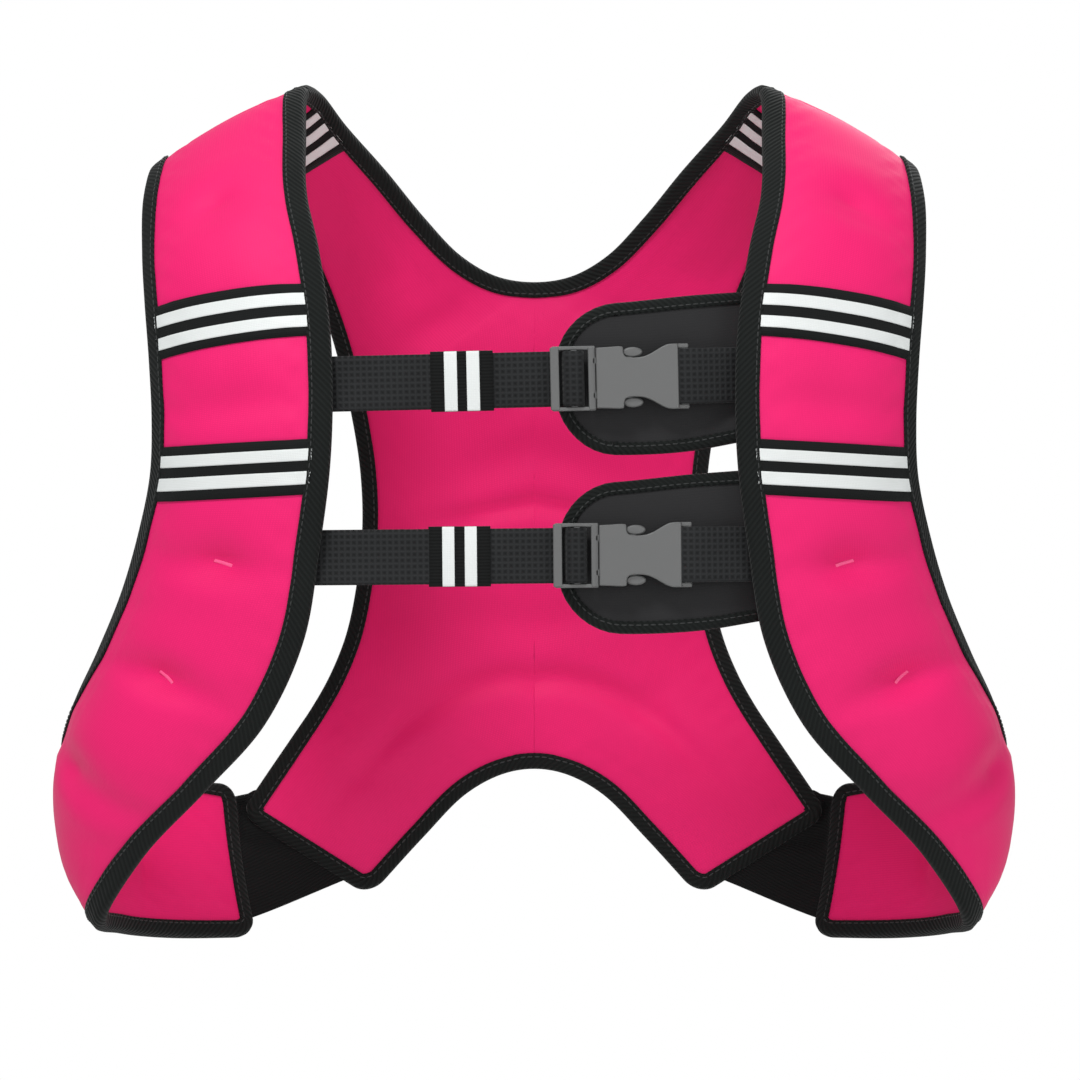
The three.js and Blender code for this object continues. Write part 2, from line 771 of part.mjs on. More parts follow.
function maleBuckle() {
  const frame = plate(
    upAndDown([
      at(0, BUCKLE_HALF - FRAME_RIM),
      at(FRAME_RIM, BUCKLE_HALF),
      at(FRAME_LENGTH, BUCKLE_HALF),
    ]).reverse(),
    BAR_THICKNESS,
  );
  const through = 2 * BAR_THICKNESS;
  const slots = plate(oblong(FRONT_BAR, firstSlotEnd, SLOT_HALF), through)
    .add(plate(oblong(secondSlotStart, secondSlotStart + SECOND_SLOT, SLOT_HALF), through));
  const root = FRAME_LENGTH - BODY_WALL;
  const tip = FRAME_LENGTH + PRONG_LENGTH;
  const inner = prongOuter - PRONG_WIDTH;
  const prong = [
    at(root, inner),
    at(tip - PRONG_WIDTH / 2, inner),
    at(tip, inner + PRONG_WIDTH / 2),
    ...PRONG_BARB.map(({ back: rear, out }) => (
      at(tip - rear * PRONG_HEAD, prongOuter + out * PRONG_HEAD)
    )),
    at(root, prongOuter),
  ];
  const lower = prong.map((point) => at(point.x, -point.y)).reverse();
  return fromSolid(frame.subtract(slots)
    .add(plate(prong, BAR_THICKNESS))
    .add(plate(lower, BAR_THICKNESS))
    .add(plate(oblong(root, tip - PRONG_WIDTH, PRONG_WIDTH / 2), BAR_THICKNESS)));
}

function femaleBuckle() {
  const outline = (rows) => upAndDown(
    rows.map(({ along, half }) => at(along * BODY_LENGTH, half * BUCKLE_HALF)),
  );
  const slotEnd = BODY_LENGTH - END_BAR;
  const thin = plate(outline(FEMALE_OUTLINE).reverse(), BAR_THICKNESS)
    .subtract(plate(oblong(slotEnd - END_SLOT, slotEnd, SLOT_HALF), 2 * BAR_THICKNESS));
  const thick = plate(
    outline(FEMALE_OUTLINE.filter(({ along }) => along < 1 - END_FRAME / BODY_LENGTH)).reverse(),
    BODY_THICKNESS,
  );
  const mouth = plate(
    oblong(-BODY_WALL, PRONG_LENGTH + BODY_WALL, prongOuter + LATCH_FIT),
    BODY_THICKNESS - 2 * BODY_WALL,
  );
  return fromSolid(thick.add(thin).subtract(mouth));
}

// An elastic loop round both layers of webbing
function keeper() {
  const face = strandOffset - WEBBING_WALL / 2 - STRAP_GAP;
  const rear = returnOffset + WEBBING_WALL / 2 + STRAP_GAP;
  const half = WEBBING_WIDTH / 2 + STRAP_GAP;
  const box = (grow) => [
    at(face - grow, -half - grow),
    at(rear + grow, -half - grow),
    at(rear + grow, half + grow),
    at(face - grow, half + grow),
  ];
  const shape = new THREE.Shape(box(KEEPER_WALL));
  shape.holes.push(new THREE.Path(box(0)));
  const loop = new THREE.ExtrudeGeometry(shape, { depth: KEEPER_LENGTH, bevelEnabled: false });
  loop.applyMatrix4(new THREE.Matrix4().makeBasis(
    new THREE.Vector3(0, 1, 0),
    new THREE.Vector3(0, 0, 1),
    new THREE.Vector3(1, 0, 0),
  ));
  loop.translate(-KEEPER_LENGTH / 2, 0, 0);
  return { loop: weld(loop), front: face - KEEPER_WALL, half };
}

// The section of the front panel whose chest edge is at a height
function chestRow(height) {
  let [high, low] = [0, CHEST_LOWEST_ROW];
  for (let turn = 0; turn < 30; turn += 1) {
    const half = (high + low) / 2;
    [high, low] = front.inner.at(half).z > height ? [half, low] : [high, half];
  }
  return (high + low) / 2;
}

// What lies behind a front panel's bound chest edge between two heights: how far out the edge is,
// and how far back a flat piece lies at the edge's fold and at the binding's inner end
function seatBehind(foot, top) {
  const margin = BINDING_GAP + BINDING_WALL;
  const first = Math.floor(chestRow(top + margin) * STEPS_PER_ROW) - 1;
  const final = Math.ceil(chestRow(foot - margin) * STEPS_PER_ROW) + 1;
  const places = sidePlaces(front, 1, 0, front.last).slice(Math.max(first, 0), final + 1);
  const sections = places.map((place) => {
    const [, [legEnd, fold]] = bindingRing(front, place, BINDING_LEG);
    return [rim(front, place).edge, fold, legEnd];
  });
  const [edges, folds, legEnds] = [0, 1, 2].map((part) => (
    sections.slice(1).flatMap((section, index) => (
      Array.from({ length: EDGE_SAMPLES + 1 }, (_, step) => (
        sections[index][part].clone().lerp(section[part], step / EDGE_SAMPLES)
      ))
    )).filter((point) => point.z > foot - margin && point.z < top + margin)
  ));
  return {
    out: Math.min(...edges.map((point) => -point.x)),
    edgeDepth: Math.max(...folds.map((point) => point.y)) + STRAP_GAP,
    endDepth: Math.max(...legEnds.map((point) => point.y)) + STRAP_GAP,
  };
}

function webbingSeat(height, draw) {
  const half = WEBBING_WIDTH / 2;
  const { out, edgeDepth, endDepth } = seatBehind(height - half, height + half);
  const behind = (0.5 - draw) * WEBBING_WALL;
  return { out, edgeDepth: edgeDepth + behind, endDepth: endDepth + behind };
}

for (const strap of CHEST_STRAPS) {
  const height = strap.rise * HEIGHT;
  const seat = webbingSeat(height, strap.draw);
  const plane = seat.edgeDepth - strandOffset;
  const tilt = THREE.MathUtils.degToRad(strap.tilt);
  const farSeat = webbingSeat(height + 2 * seat.out * Math.tan(tilt), strap.draw);
  const group = new THREE.Group();
  group.position.set(-seat.out, plane, height);
  group.rotation.y = -tilt;
  vest.add(group);

  const buckle = seat.out + strap.buckleOut * HALF_WIDTH;
  const loop = seat.out + strap.keeperOut * HALF_WIDTH;
  const far = (seat.out + farSeat.out) / Math.cos(tilt);
  const body = buckle + FRAME_LENGTH + LATCH_FIT;
  const slotMiddle = buckle + FRONT_BAR + FIRST_SLOT / 2;
  const centreBar = buckle + firstSlotEnd;
  const half = BAR_THICKNESS / 2;
  const foldOut = BINDING_GAP + BINDING_WALL + STRAP_GAP;
  const threaded = [
    at(-WEBBING_TUCK, seat.endDepth - plane),
    at(foldOut, seat.edgeDepth - plane),
    at(buckle + FRONT_BAR + SLOT_CLEARANCE / 2, strandOffset),
    at(slotMiddle - SLOT_CLEARANCE, half - SLOT_CLEARANCE),
    at(slotMiddle + SLOT_CLEARANCE / 2, -half + WEBBING_WALL / 2),
    at(centreBar - SLOT_CLEARANCE / 2, -strandOffset - STRAP_GAP / 3),
    at(centreBar + CENTRE_BAR + SLOT_CLEARANCE / 2, -strandOffset - STRAP_GAP / 3),
    at(centreBar + CENTRE_BAR + SECOND_SLOT / 2, -half + SLOT_CLEARANCE),
    at(centreBar + CENTRE_BAR + SECOND_SLOT / 2, half),
    at(centreBar + CENTRE_BAR + SLOT_CLEARANCE, returnOffset - SLOT_CLEARANCE),
    at(centreBar, returnOffset),
    at(loop - KEEPER_LENGTH / 2 - TAIL_PAST_KEEPER, returnOffset),
  ];
  const threadedWebbing = ribbon(threaded, WEBBING_WALL, WEBBING_WIDTH);
  add(group, `${strap.name}_webbing_threaded`, threadedWebbing, blackWebbing);

  const bar = body + BODY_LENGTH - END_BAR;
  const sewn = [
    at(far + WEBBING_TUCK, farSeat.endDepth - plane),
    at(far - foldOut, farSeat.edgeDepth - plane),
    at(far - WEBBING_TUCK, (farSeat.edgeDepth - plane) / 2),
    at(bar + END_BAR + WEBBING_WALL, -strandOffset),
    at(bar, -strandOffset),
    at(bar - END_SLOT / 2, -half + SLOT_CLEARANCE / 2),
    at(bar - END_SLOT / 2, half - SLOT_CLEARANCE / 2),
    at(bar, strandOffset),
    at(bar + END_BAR + SEWN_RETURN, strandOffset),
  ];
  add(group, `${strap.name}_webbing_sewn`, ribbon(sewn, WEBBING_WALL, WEBBING_WIDTH), blackWebbing);

  add(group, `${strap.name}_buckle_male`, maleBuckle(), greyPlastic).position.x = buckle;
  add(group, `${strap.name}_buckle_female`, femaleBuckle(), greyPlastic).position.x = body;

  const { loop: ring, front: face, half: ringHalf } = keeper();
  add(group, `${strap.name}_keeper`, ring, blackElastic).position.x = loop;
  for (const [index, turn] of [-0.5, 0.5].entries()) {
    const stripe = weld(new THREE.BoxGeometry(KEEPER_STRIPE, STRIPE_WALL, 2 * ringHalf));
    const name = `${strap.name}_keeper_stripe_${index + 1}`;
    add(group, name, stripe, whiteStripe).position.set(
      loop + turn * KEEPER_STRIPE_PITCH,
      face - STRIPE_WALL / 2 - STRAP_GAP,
      0,
    );
  }

  // Backing pad, worked out on the other side and mirrored
  const rounded = -(strap.buckleOut * HALF_WIDTH + FRONT_BAR);
  const line = height + (seat.out + farSeat.out) * Math.tan(tilt);
  const bindingRise = BINDING_GAP + BINDING_WALL + LEG_RELIEF;
  const [edgeRow] = BACKING_ROWS;
  const [footSeat, topSeat] = [-edgeRow.foot, edgeRow.top].map((part) => {
    const z = line + part * HEIGHT;
    return seatBehind(z - BACKING_LEG, z + BACKING_LEG).edgeDepth + bindingRise;
  });
  const beside = THREE.MathUtils.lerp(footSeat, topSeat, edgeRow.foot / (edgeRow.foot + edgeRow.top));
  const webbingDepth = Math.max(farSeat.edgeDepth, farSeat.endDepth);
  const behindWebbing = webbingDepth + WEBBING_WALL / 2 + STRAP_GAP;
  const push = Math.max(behindWebbing - beside, 0) + BACKING_THICKNESS / 2;
  const restDepth = plane + returnOffset + WEBBING_WALL / 2 + STRAP_GAP
    + bindingRise + BACKING_THICKNESS / 2;
  const rims = BACKING_ROWS.map(({ place, top, foot }) => [-foot, top].map((part, side) => {
    const z = line + part * HEIGHT;
    const start = front.inner.at(chestRow(z)).x;
    const depth = place > 0 ? restDepth : [footSeat, topSeat][side] + push;
    return new THREE.Vector3(THREE.MathUtils.lerp(start, rounded, place), depth, z);
  }));
  const pad = new Sheet({
    arm: new Edge(rims.map(([foot]) => foot), [], []),
    inner: new Edge(rims.map(([, top]) => top), [], []),
    bows: rims.map(() => 0),
    face: -1,
    dents: [],
    edge: BACKING_THICKNESS,
    full: BACKING_THICKNESS,
    radius: BACKING_RADIUS,
    steps: BACKING_STEPS,
  });
  add(vest, `${strap.name}_backing`, mirrored(pad.solid()), blackNeoprene);
  const tape = bindingSolid(ringsOf(pad, openRim(pad), BACKING_LEG));
  add(vest, `${strap.name}_backing_binding`, mirrored(tape), blackBinding);
}

export default vest;
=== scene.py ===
"""Looks of a padded weighted vest: panels, bindings, tapes, chest straps and buckles.

Lengths in the tables are millimetres or shares of the vest's named sizes, as in the part's
source. Meshes are made in metres, in the part's own frame.
"""

import logging
import math
from dataclasses import dataclass, field
from enum import Enum
from functools import cached_property

import bmesh
import bpy
import numpy as np
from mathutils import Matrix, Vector

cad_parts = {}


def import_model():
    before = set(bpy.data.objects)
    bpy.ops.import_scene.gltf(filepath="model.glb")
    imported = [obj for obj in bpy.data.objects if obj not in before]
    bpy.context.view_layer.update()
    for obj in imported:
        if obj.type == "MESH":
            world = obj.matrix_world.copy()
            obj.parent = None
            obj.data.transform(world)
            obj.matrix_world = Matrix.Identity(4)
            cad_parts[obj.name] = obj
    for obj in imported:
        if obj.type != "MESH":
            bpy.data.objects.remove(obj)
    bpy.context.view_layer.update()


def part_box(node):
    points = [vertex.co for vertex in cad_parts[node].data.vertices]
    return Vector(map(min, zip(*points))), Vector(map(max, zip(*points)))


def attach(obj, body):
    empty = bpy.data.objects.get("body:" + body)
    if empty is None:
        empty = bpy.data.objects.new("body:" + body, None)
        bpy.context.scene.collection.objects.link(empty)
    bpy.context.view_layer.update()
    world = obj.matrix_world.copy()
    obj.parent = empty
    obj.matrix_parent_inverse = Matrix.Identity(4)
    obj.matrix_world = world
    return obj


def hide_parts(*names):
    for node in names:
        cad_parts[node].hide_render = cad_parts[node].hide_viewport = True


LOG = logging.getLogger("vest")
MM = 0.001
Array = np.ndarray

HALF_WIDTH, HALF_DEPTH, HEIGHT = 225.0, 105.0, 394.0
PAD_THICKNESS, EDGE_THICKNESS, PAD_REACH = 18.0, 4.0, 38.0
OUTER_SHARE, STRAP_BOW, CORNER_RADIUS, SEAM_GAP = 0.6, 7.0, 7.0, 0.5
TAPE_WIDTH, SHOULDER_TAPE_WIDTH, STRIPE_WIDTH, STRIPE_PITCH = 25.0, 36.0, 5.6, 10.6
TAPE_WALL, TAPE_LIFT, STRIPE_WALL, STRIPE_LIFT, TAPE_UNDER = 0.8, 0.85, 0.3, 1.15, 2.0
WEBBING_WIDTH, WEBBING_WALL, WEBBING_TUCK, WEBBING_EDGE = 25.0, 1.6, 8.0, 0.35
LADDER_BAR, STRAP_GAP = 4.0, 0.3
KEEPER_LIFT, KEEPER_STRIPE_LIFT, KEEPER_WALL, KEEPER_SAG = 1.2, 1.55, 1.1, 0.5
BINDING_WALL, FOLD_TURNS, FOLD_REACH = 1.1, np.radians((-62, -32, 0, 32, 62)), 0.7
STITCH_INSET, STITCH_LIFT, STITCH_PITCH, STITCH_LONG, STITCH_THICK = 1.5, 0.1, 3.4, 2.5, 0.6
TACK_HALF, TACK_LIFT, TACK_LONG, TACK_THICK, TACK_LEAN = 4.6, 0.3, 1.7, 0.62, 0.25
NECK_MIDDLE, ARCH_MIDDLE = 7, 12
SLOPE_STEP, SETTLE_ROUNDS, SETTLE_SHARE = 0.02, 8, 0.8
# Cells: across a panel, for each table row, round an end, over a tape, over a backing pad
PANEL_CELLS, ROW_CELLS, END_CELLS, TAPE_CELLS, BACKING_CELLS = 64, 13, 54, (48, 8), (40, 48)
SEWN_STEPS, END_STEPS, CHUNK = 20, 60, 4000
# Looks: sheen, the cloud in a cloth's tone, the threads' share and relief, the plastic's grain
SHEEN_ROUGHNESS, CLOUD_SCALE, CLOUD_DETAIL, CLOUD_SHARE = 0.45, 22.0, 3.0, 0.6
THREAD_SHARE, THREAD_RELIEF, DARKER = 0.55, 0.0004, 2.2
GRAIN_SCALE, GRAIN_STRENGTH, GRAIN_RELIEF = 2600.0, 0.12, 0.0001

FRONT_ROWS = np.array([
    # armOut armDeep armRise chestOut chestDeep chestRise bow
    [0.784, 0.00, 0.002, 0.481, 0.00, 0.094, -0.1],
    [0.803, -0.27, -0.037, 0.484, -0.34, 0.033, 0.3],
    [0.802, -0.46, -0.106, 0.479, -0.62, -0.035, 0.8],
    [0.796, -0.56, -0.158, 0.453, -0.80, -0.100, 0.6],
    [0.786, -0.62, -0.229, 0.430, -0.93, -0.188, 0.5],
    [0.780, -0.64, -0.299, 0.424, -0.98, -0.276, 0.5],
    [0.784, -0.61, -0.364, 0.430, -0.98, -0.358, 0.6],
    [0.809, -0.53, -0.434, 0.451, -0.95, -0.450, 0.8],
    [0.846, -0.42, -0.505, 0.484, -0.89, -0.558, 1.0],
    [0.897, -0.28, -0.575, 0.562, -0.79, -0.654, 1.4],
    [0.950, -0.10, -0.640, 0.687, -0.62, -0.734, 2.0],
    [0.962, 0.10, -0.675, 0.813, -0.38, -0.809, 2.0],
    [0.928, 0.34, -0.706, 0.908, -0.08, -0.894, 0.9],
    [0.855, 0.53, -0.724, 0.868, 0.19, -0.906, 0.7],
    [0.760, 0.68, -0.736, 0.760, 0.47, -0.914, 0.7],
    [0.644, 0.80, -0.742, 0.600, 0.68, -0.915, 0.5],
])
BACK_ROWS = np.array([
    # armOut armDeep armRise innerOut innerDeep innerRise bow
    [0.784, 0.00, 0.002, 0.481, 0.00, 0.094, -0.1],
    [0.739, 0.28, -0.020, 0.450, 0.20, 0.088, 0.3],
    [0.618, 0.54, -0.041, 0.403, 0.39, 0.053, 0.5],
    [0.515, 0.73, -0.067, 0.320, 0.59, 0.000, 0.4],
    [0.470, 0.85, -0.117, 0.238, 0.77, -0.056, 0.2],
    [0.430, 0.92, -0.176, 0.160, 0.88, -0.101, 0.0],
    [0.403, 0.95, -0.229, 0.081, 0.94, -0.126, 0.0],
    [0.379, 0.97, -0.288, 0.000, 0.96, -0.133, 0.0],
    [0.360, 0.98, -0.358, 0.000, 0.98, -0.273, 0.0],
    [0.356, 0.98, -0.428, 0.000, 0.99, -0.393, 0.0],
    [0.369, 0.98, -0.499, 0.000, 0.99, -0.511, 0.0],
    [0.391, 0.97, -0.558, 0.000, 0.98, -0.618, 0.0],
    [0.425, 0.95, -0.607, 0.000, 0.96, -0.713, 0.0],
    [0.463, 0.93, -0.646, 0.072, 0.96, -0.720, 0.0],
    [0.504, 0.90, -0.681, 0.152, 0.95, -0.745, 0.1],
    [0.553, 0.87, -0.722, 0.242, 0.93, -0.797, 0.2],
    [0.612, 0.84, -0.772, 0.352, 0.90, -0.866, 0.2],
])
FRONT_DENTS = (
    # across along acrossRadius alongRadius depth
    (0.50, 1.80, 15, 11, 0.45),
    (0.50, 1.80, 7, 3, 0.45),
    (0.55, 7.25, 16, 10, 0.55),
    (0.55, 7.25, 8, 3, 0.50),
    (0.48, 8.85, 16, 10, 0.55),
    (0.48, 8.85, 8, 3, 0.50),
    (0.40, 10.65, 14, 12, 0.45),
    (0.40, 10.65, 6, 4, 0.45),
    (0.50, 13.40, 12, 16, 0.30),
    (0.50, 13.40, 16, 3.2, 0.45),
    (0.50, 1.95, 48, 8, 0.24),
    (0.50, 4.95, 48, 9, 0.34),
    (0.50, 7.30, 48, 8, 0.38),
    (0.50, 8.90, 48, 8, 0.40),
    (0.50, 10.60, 48, 10, 0.38),
    (0.50, 12.20, 42, 10, 0.28),
)
BACK_DENTS = (
    (0.45, 4.60, 16, 12, 0.35),
    (0.50, 6.20, 26, 9, 0.34),
    (1.00, 7.90, 14, 8, 0.40),
    (1.00, 7.90, 6, 3, 0.35),
    (1.00, 9.02, 46, 4.2, 0.62),
    (1.00, 8.50, 46, 10, 0.36),
    (0.62, 9.12, 10, 4, 0.25),
    (1.00, 10.30, 64, 9, 0.30),
    (0.40, 11.80, 12, 9, 0.35),
    (0.52, 14.30, 24, 10, 0.28),
)
# Shoulders hold less filling than the rest: row and share of the full padding
FULLNESS = ((0.0, 0.50), (1.0, 0.62), (2.0, 0.84), (3.0, 1.0))
# The roll of padding round the back's arch: distance from the edge, width, depth, reach aside
ARCH_CREASE = (42.0, 6.0, 0.75, 84.0)
FRONT_TAPES = (("upper", 3.62, 3.82), ("lower", 5.96, 5.93))
SHOULDER_TAPE = (1.55, 1.62)
# How a tape presses the padding: depth, flat share of its half width and fall beside it
TAPE_PRESS = (0.16, 0.55, 2.2)
# Fine puckers: direction for each millimetre, rate, start and share
RIPPLES = (((0.31, 0.23, 0.37), 1.1, 0.0, 0.6), ((-0.19, 0.41, 0.27), 1.7, 1.3, 0.4))
# Where puckers lie: distance from a sewn edge, width and how fast they set in
PUCKER_PLACE = (14, 7, 10)
# A binding's section from its sewn edge: share of the leg, step, share of the lift, step
BINDING_SECTION = (
    (1.0, 0.35, 0.0, 0.25), (1.0, 0.0, 1.0, -0.25), (1.0, -1.0, 1.0, 0.0),
    (0.62, 0.0, 1.0, 0.0), (0.3, 0.0, 1.0, 0.0), (0.0, 0.5, 1.0, 0.0),
)
# Bar tacks on a front panel: across, along, turn in degrees from the panel's own across
BAR_TACKS = ((0.55, 7.25, 10.0), (0.48, 8.85, 20.0))
ELASTIC_WING = (0.90, 0.06)
STRAPS = (
    # name rise tilt
    ("upper", -0.2575, 1.3),
    ("lower", -0.4615, 0.5),
)
BACKING_ROWS = ((0.00, 0.093, 0.075), (0.30, 0.088, 0.086), (0.66, 0.080, 0.090),
                (1.00, 0.076, 0.086))


class Side(Enum):
    """The two halves of the vest, with the sign that mirrors the modelled one."""

    RIGHT = 1.0
    LEFT = -1.0

    @property
    def suffix(self) -> str:
        """Return the node name's ending for this side."""
        return f"{self.name.lower()}_side"

    def place(self, points: Array) -> Array:
        """Put points of the wearer's right, with x, y, z last, onto this side."""
        return points * np.array([self.value, 1.0, 1.0])


def linear(colour: tuple[int, int, int]) -> tuple[float, float, float, float]:
    """Turn a display colour into scene-linear values.

    Args:
        colour: Red, green and blue from 0 to 255.

    Returns:
        Linear red, green, blue and an alpha of one.
    """
    parts = [c / 255 for c in colour]
    made = [p / 12.92 if p <= 0.04045 else ((p + 0.055) / 1.055) ** 2.4 for p in parts]
    return (made[0], made[1], made[2], 1.0)


class Weave(Enum):
    """How a cloth's threads show."""

    KNIT = "knit"
    TWILL = "twill"
    PLAIN = "plain"
    RIB = "rib"
    GLASS = "glass"


class Shading:
    """A new procedural material, with short ways to add and link its nodes."""

    def __init__(self, name: str, values: dict[str, object]) -> None:
        """Start the material.

        Args:
            name: The material's name.
            values: Constants for the shader's own sockets.
        """
        self.made = bpy.data.materials.new(name)
        self.made.use_nodes = True
        self.shader = self.made.node_tree.nodes["Principled BSDF"]
        for socket, value in values.items():
            self.shader.inputs[socket].default_value = value

    def link(self, source: bpy.types.NodeSocket, target: bpy.types.NodeSocket) -> None:
        """Join two sockets."""
        self.made.node_tree.links.new(source, target)

    def node(self, kind: str, **values: float) -> bpy.types.Node:
        """Add a node.

        Args:
            kind: The end of its type's name.
            values: Constants for its sockets.

        Returns:
            The node.
        """
        made = self.made.node_tree.nodes.new(f"ShaderNode{kind}")
        for socket, value in values.items():
            made.inputs[socket].default_value = value
        return made

    def math(self, rule: str, *inputs: bpy.types.NodeSocket | float) -> bpy.types.NodeSocket:
        """Work out one step of arithmetic.

        Args:
            rule: The step's name.
            inputs: What it takes, each a socket or a plain number.

        Returns:
            The socket that holds the result.
        """
        made = self.node("Math")
        made.operation = rule
        for socket, value in zip(made.inputs, inputs):
            if isinstance(value, bpy.types.NodeSocket):
                self.link(value, socket)
            else:
                socket.default_value = value
        return made.outputs[0]

    def noise(self, **values: float) -> bpy.types.NodeSocket:
        """Make noise that stays with the object.

        Args:
            values: Constants for the noise's sockets.

        Returns:
            The socket that holds it.
        """
        made = self.node("TexNoise", **values)
        self.link(self.node("TexCoord").outputs["Object"], made.inputs["Vector"])
        return made.outputs["Fac"]

    def bump(self, height: bpy.types.NodeSocket, strength: float, distance: float) -> None:
        """Raise the surface.

        Args:
            height: The socket that holds the height, from 0 to 1.
            strength: How strongly it shows.
            distance: The full height in metres.
        """
        made = self.node("Bump", Strength=strength, Distance=distance)
        self.link(height, made.inputs["Height"])
        self.link(made.outputs[0], self.shader.inputs["Normal"])


@dataclass(frozen=True)
class Finish:
    """What a piece is made of, with the name of the slot that it takes."""

    name: str
    slot: str
    colour: tuple[int, int, int]

    def material(self) -> bpy.types.Material:
        """Return the finish's material, made once."""
        return bpy.data.materials.get(self.name) or self.make()

    def make(self) -> bpy.types.Material:
        """Make the material, which each kind of finish does in its own way."""
        raise NotImplementedError


@dataclass(frozen=True)
class Cloth(Finish):
    """A woven or knitted finish that reads the piece's UV map, in metres."""

    weave: Weave
    pitch: float
    depth: float
    roughness: float = 0.8
    sheen: float = 0.2
    mottle: float = 0.06
    specular: float = 0.12

    def make(self) -> bpy.types.Material:
        """Make the cloth's material.

        Returns:
            The procedural material.
        """
        made = Shading(self.name, {
            "Roughness": self.roughness, "Sheen Weight": self.sheen,
            "Sheen Roughness": SHEEN_ROUGHNESS, "Specular IOR Level": self.specular})
        threads = self.threads(made)
        cloud = made.math("MULTIPLY", made.noise(Scale=CLOUD_SCALE, Detail=CLOUD_DETAIL),
                          CLOUD_SHARE)
        blend = made.math("MULTIPLY_ADD", threads, THREAD_SHARE, cloud)
        blend.node.use_clamp = True
        base = linear(self.colour)[:3]
        tone = made.node("Mix")
        tone.data_type = "RGBA"
        tone.inputs[6].default_value = (*(c * (1 - DARKER * self.mottle) for c in base), 1.0)
        tone.inputs[7].default_value = (*(min(c * (1 + self.mottle), 1.0) for c in base), 1.0)
        made.link(blend, tone.inputs[0])
        made.link(tone.outputs[2], made.shader.inputs["Base Color"])
        made.bump(threads, self.depth, THREAD_RELIEF)
        return made.made

    def wave(self, made: Shading,
             *parts: tuple[bpy.types.NodeSocket, float]) -> bpy.types.NodeSocket:
        """Make a smooth 0 to 1 wave along a mix of the UV directions.

        Args:
            made: The material.
            parts: Each UV socket with its share of waves for each pitch.

        Returns:
            The socket that holds the wave.
        """
        total = 0.0
        for socket, share in parts:
            rate = share * 2 * math.pi / (self.pitch * MM)
            total = made.math("MULTIPLY_ADD", socket, rate, total)
        return made.math("MULTIPLY_ADD", made.math("SINE", total), 0.5, 0.5)

    def threads(self, made: Shading) -> bpy.types.NodeSocket:
        """Make the height of the threads from the UV map, X along the piece and Y across it.

        Args:
            made: The material.

        Returns:
            The socket that holds the height, from 0 to 1.
        """
        split = made.node("SeparateXYZ")
        made.link(made.node("UVMap").outputs["UV"], split.inputs[0])
        u, v = split.outputs["X"], split.outputs["Y"]
        if self.weave is Weave.TWILL:
            return self.wave(made, (u, 0.75), (v, 0.75))
        if self.weave is Weave.RIB:
            return self.wave(made, (v, 1.0))
        along = self.wave(made, (u, 1.0))
        across = self.wave(made, (v, 0.7 if self.weave is Weave.KNIT else 1.0))
        return made.math("MAXIMUM" if self.weave is Weave.PLAIN else "MULTIPLY", along, across)


@dataclass(frozen=True)
class Plastic(Finish):
    """Moulded plastic with a fine grain."""

    roughness: float

    def make(self) -> bpy.types.Material:
        """Make the plastic's material.

        Returns:
            The procedural material.
        """
        made = Shading(self.name, {"Base Color": linear(self.colour),
                                   "Roughness": self.roughness})
        made.bump(made.noise(Scale=GRAIN_SCALE), GRAIN_STRENGTH, GRAIN_RELIEF)
        return made.made


PINK = Cloth("pink_neoprene_knit", "pink_neoprene", (230, 24, 107), Weave.KNIT, pitch=0.9,
             depth=0.12, roughness=0.62, sheen=0.06, mottle=0.05, specular=0.22)
BINDING = Cloth("black_twill_binding", "black_binding", (23, 26, 25), Weave.TWILL, pitch=2.2,
                depth=0.85, sheen=0.06, mottle=0.24)
TAPE = Cloth("black_flat_tape", "black_tape", (20, 22, 22), Weave.PLAIN, pitch=1.0,
             depth=0.3, roughness=0.75, sheen=0.05, mottle=0.15)
STRIPE = Cloth("pale_reflective_stripe", "white_stripe", (220, 224, 223), Weave.GLASS, pitch=0.8,
               depth=0.25, roughness=0.42, sheen=0.0, mottle=0.04, specular=0.4)
ELASTIC = Cloth("black_ribbed_elastic", "black_elastic", (20, 21, 21), Weave.RIB, pitch=1.5,
                depth=0.6, roughness=0.85, sheen=0.06, mottle=0.22)
WEBBING = Cloth("black_webbing_weave", "black_webbing", (35, 36, 37), Weave.PLAIN, pitch=2.8,
                depth=1.0, roughness=0.75, sheen=0.06, mottle=0.40)
BLACK_PAD = Cloth("black_neoprene_knit", "black_neoprene", (44, 44, 45), Weave.KNIT, pitch=0.9,
                  depth=0.2, sheen=0.12, mottle=0.08)
PINK_THREAD = Cloth("pink_thread", "pink_neoprene", (250, 92, 150), Weave.RIB, pitch=0.5,
                    depth=0.3, roughness=0.5, mottle=0.05, specular=0.3)
BLACK_THREAD = Cloth("black_thread", "black_binding", (46, 48, 48), Weave.RIB, pitch=0.5,
                     depth=0.3, roughness=0.5, sheen=0.1, mottle=0.05, specular=0.3)
GREY_PLASTIC = Plastic("grey_satin_plastic", "grey_plastic", (86, 87, 87), roughness=0.40)


def spots(rows: Array, first: int) -> Array:
    """Turn three table columns of shares, from the first on, into points in millimetres."""
    return rows[:, first:first + 3] * np.array([-HALF_WIDTH, HALF_DEPTH, HEIGHT])


def mirror(points: Array) -> Array:
    """Mirror points, with x, y, z last, across the middle of the vest."""
    return Side.LEFT.place(points)


def doubled(points: Array) -> Array:
    """Carry points that end on the vest's middle on across it."""
    return np.concatenate([points, mirror(points[::-1][1:])])


def distance_to(points: Array, line: Array) -> Array:
    """Measure how far points lie from a line.

    Args:
        points: The points.
        line: Points close together along the line.

    Returns:
        The distance of each point, worked out some thousands at a time.
    """
    return np.concatenate([
        np.linalg.norm(points[k:k + CHUNK, None] - line[None], axis=2).min(axis=1)
        for k in range(0, len(points), CHUNK)])


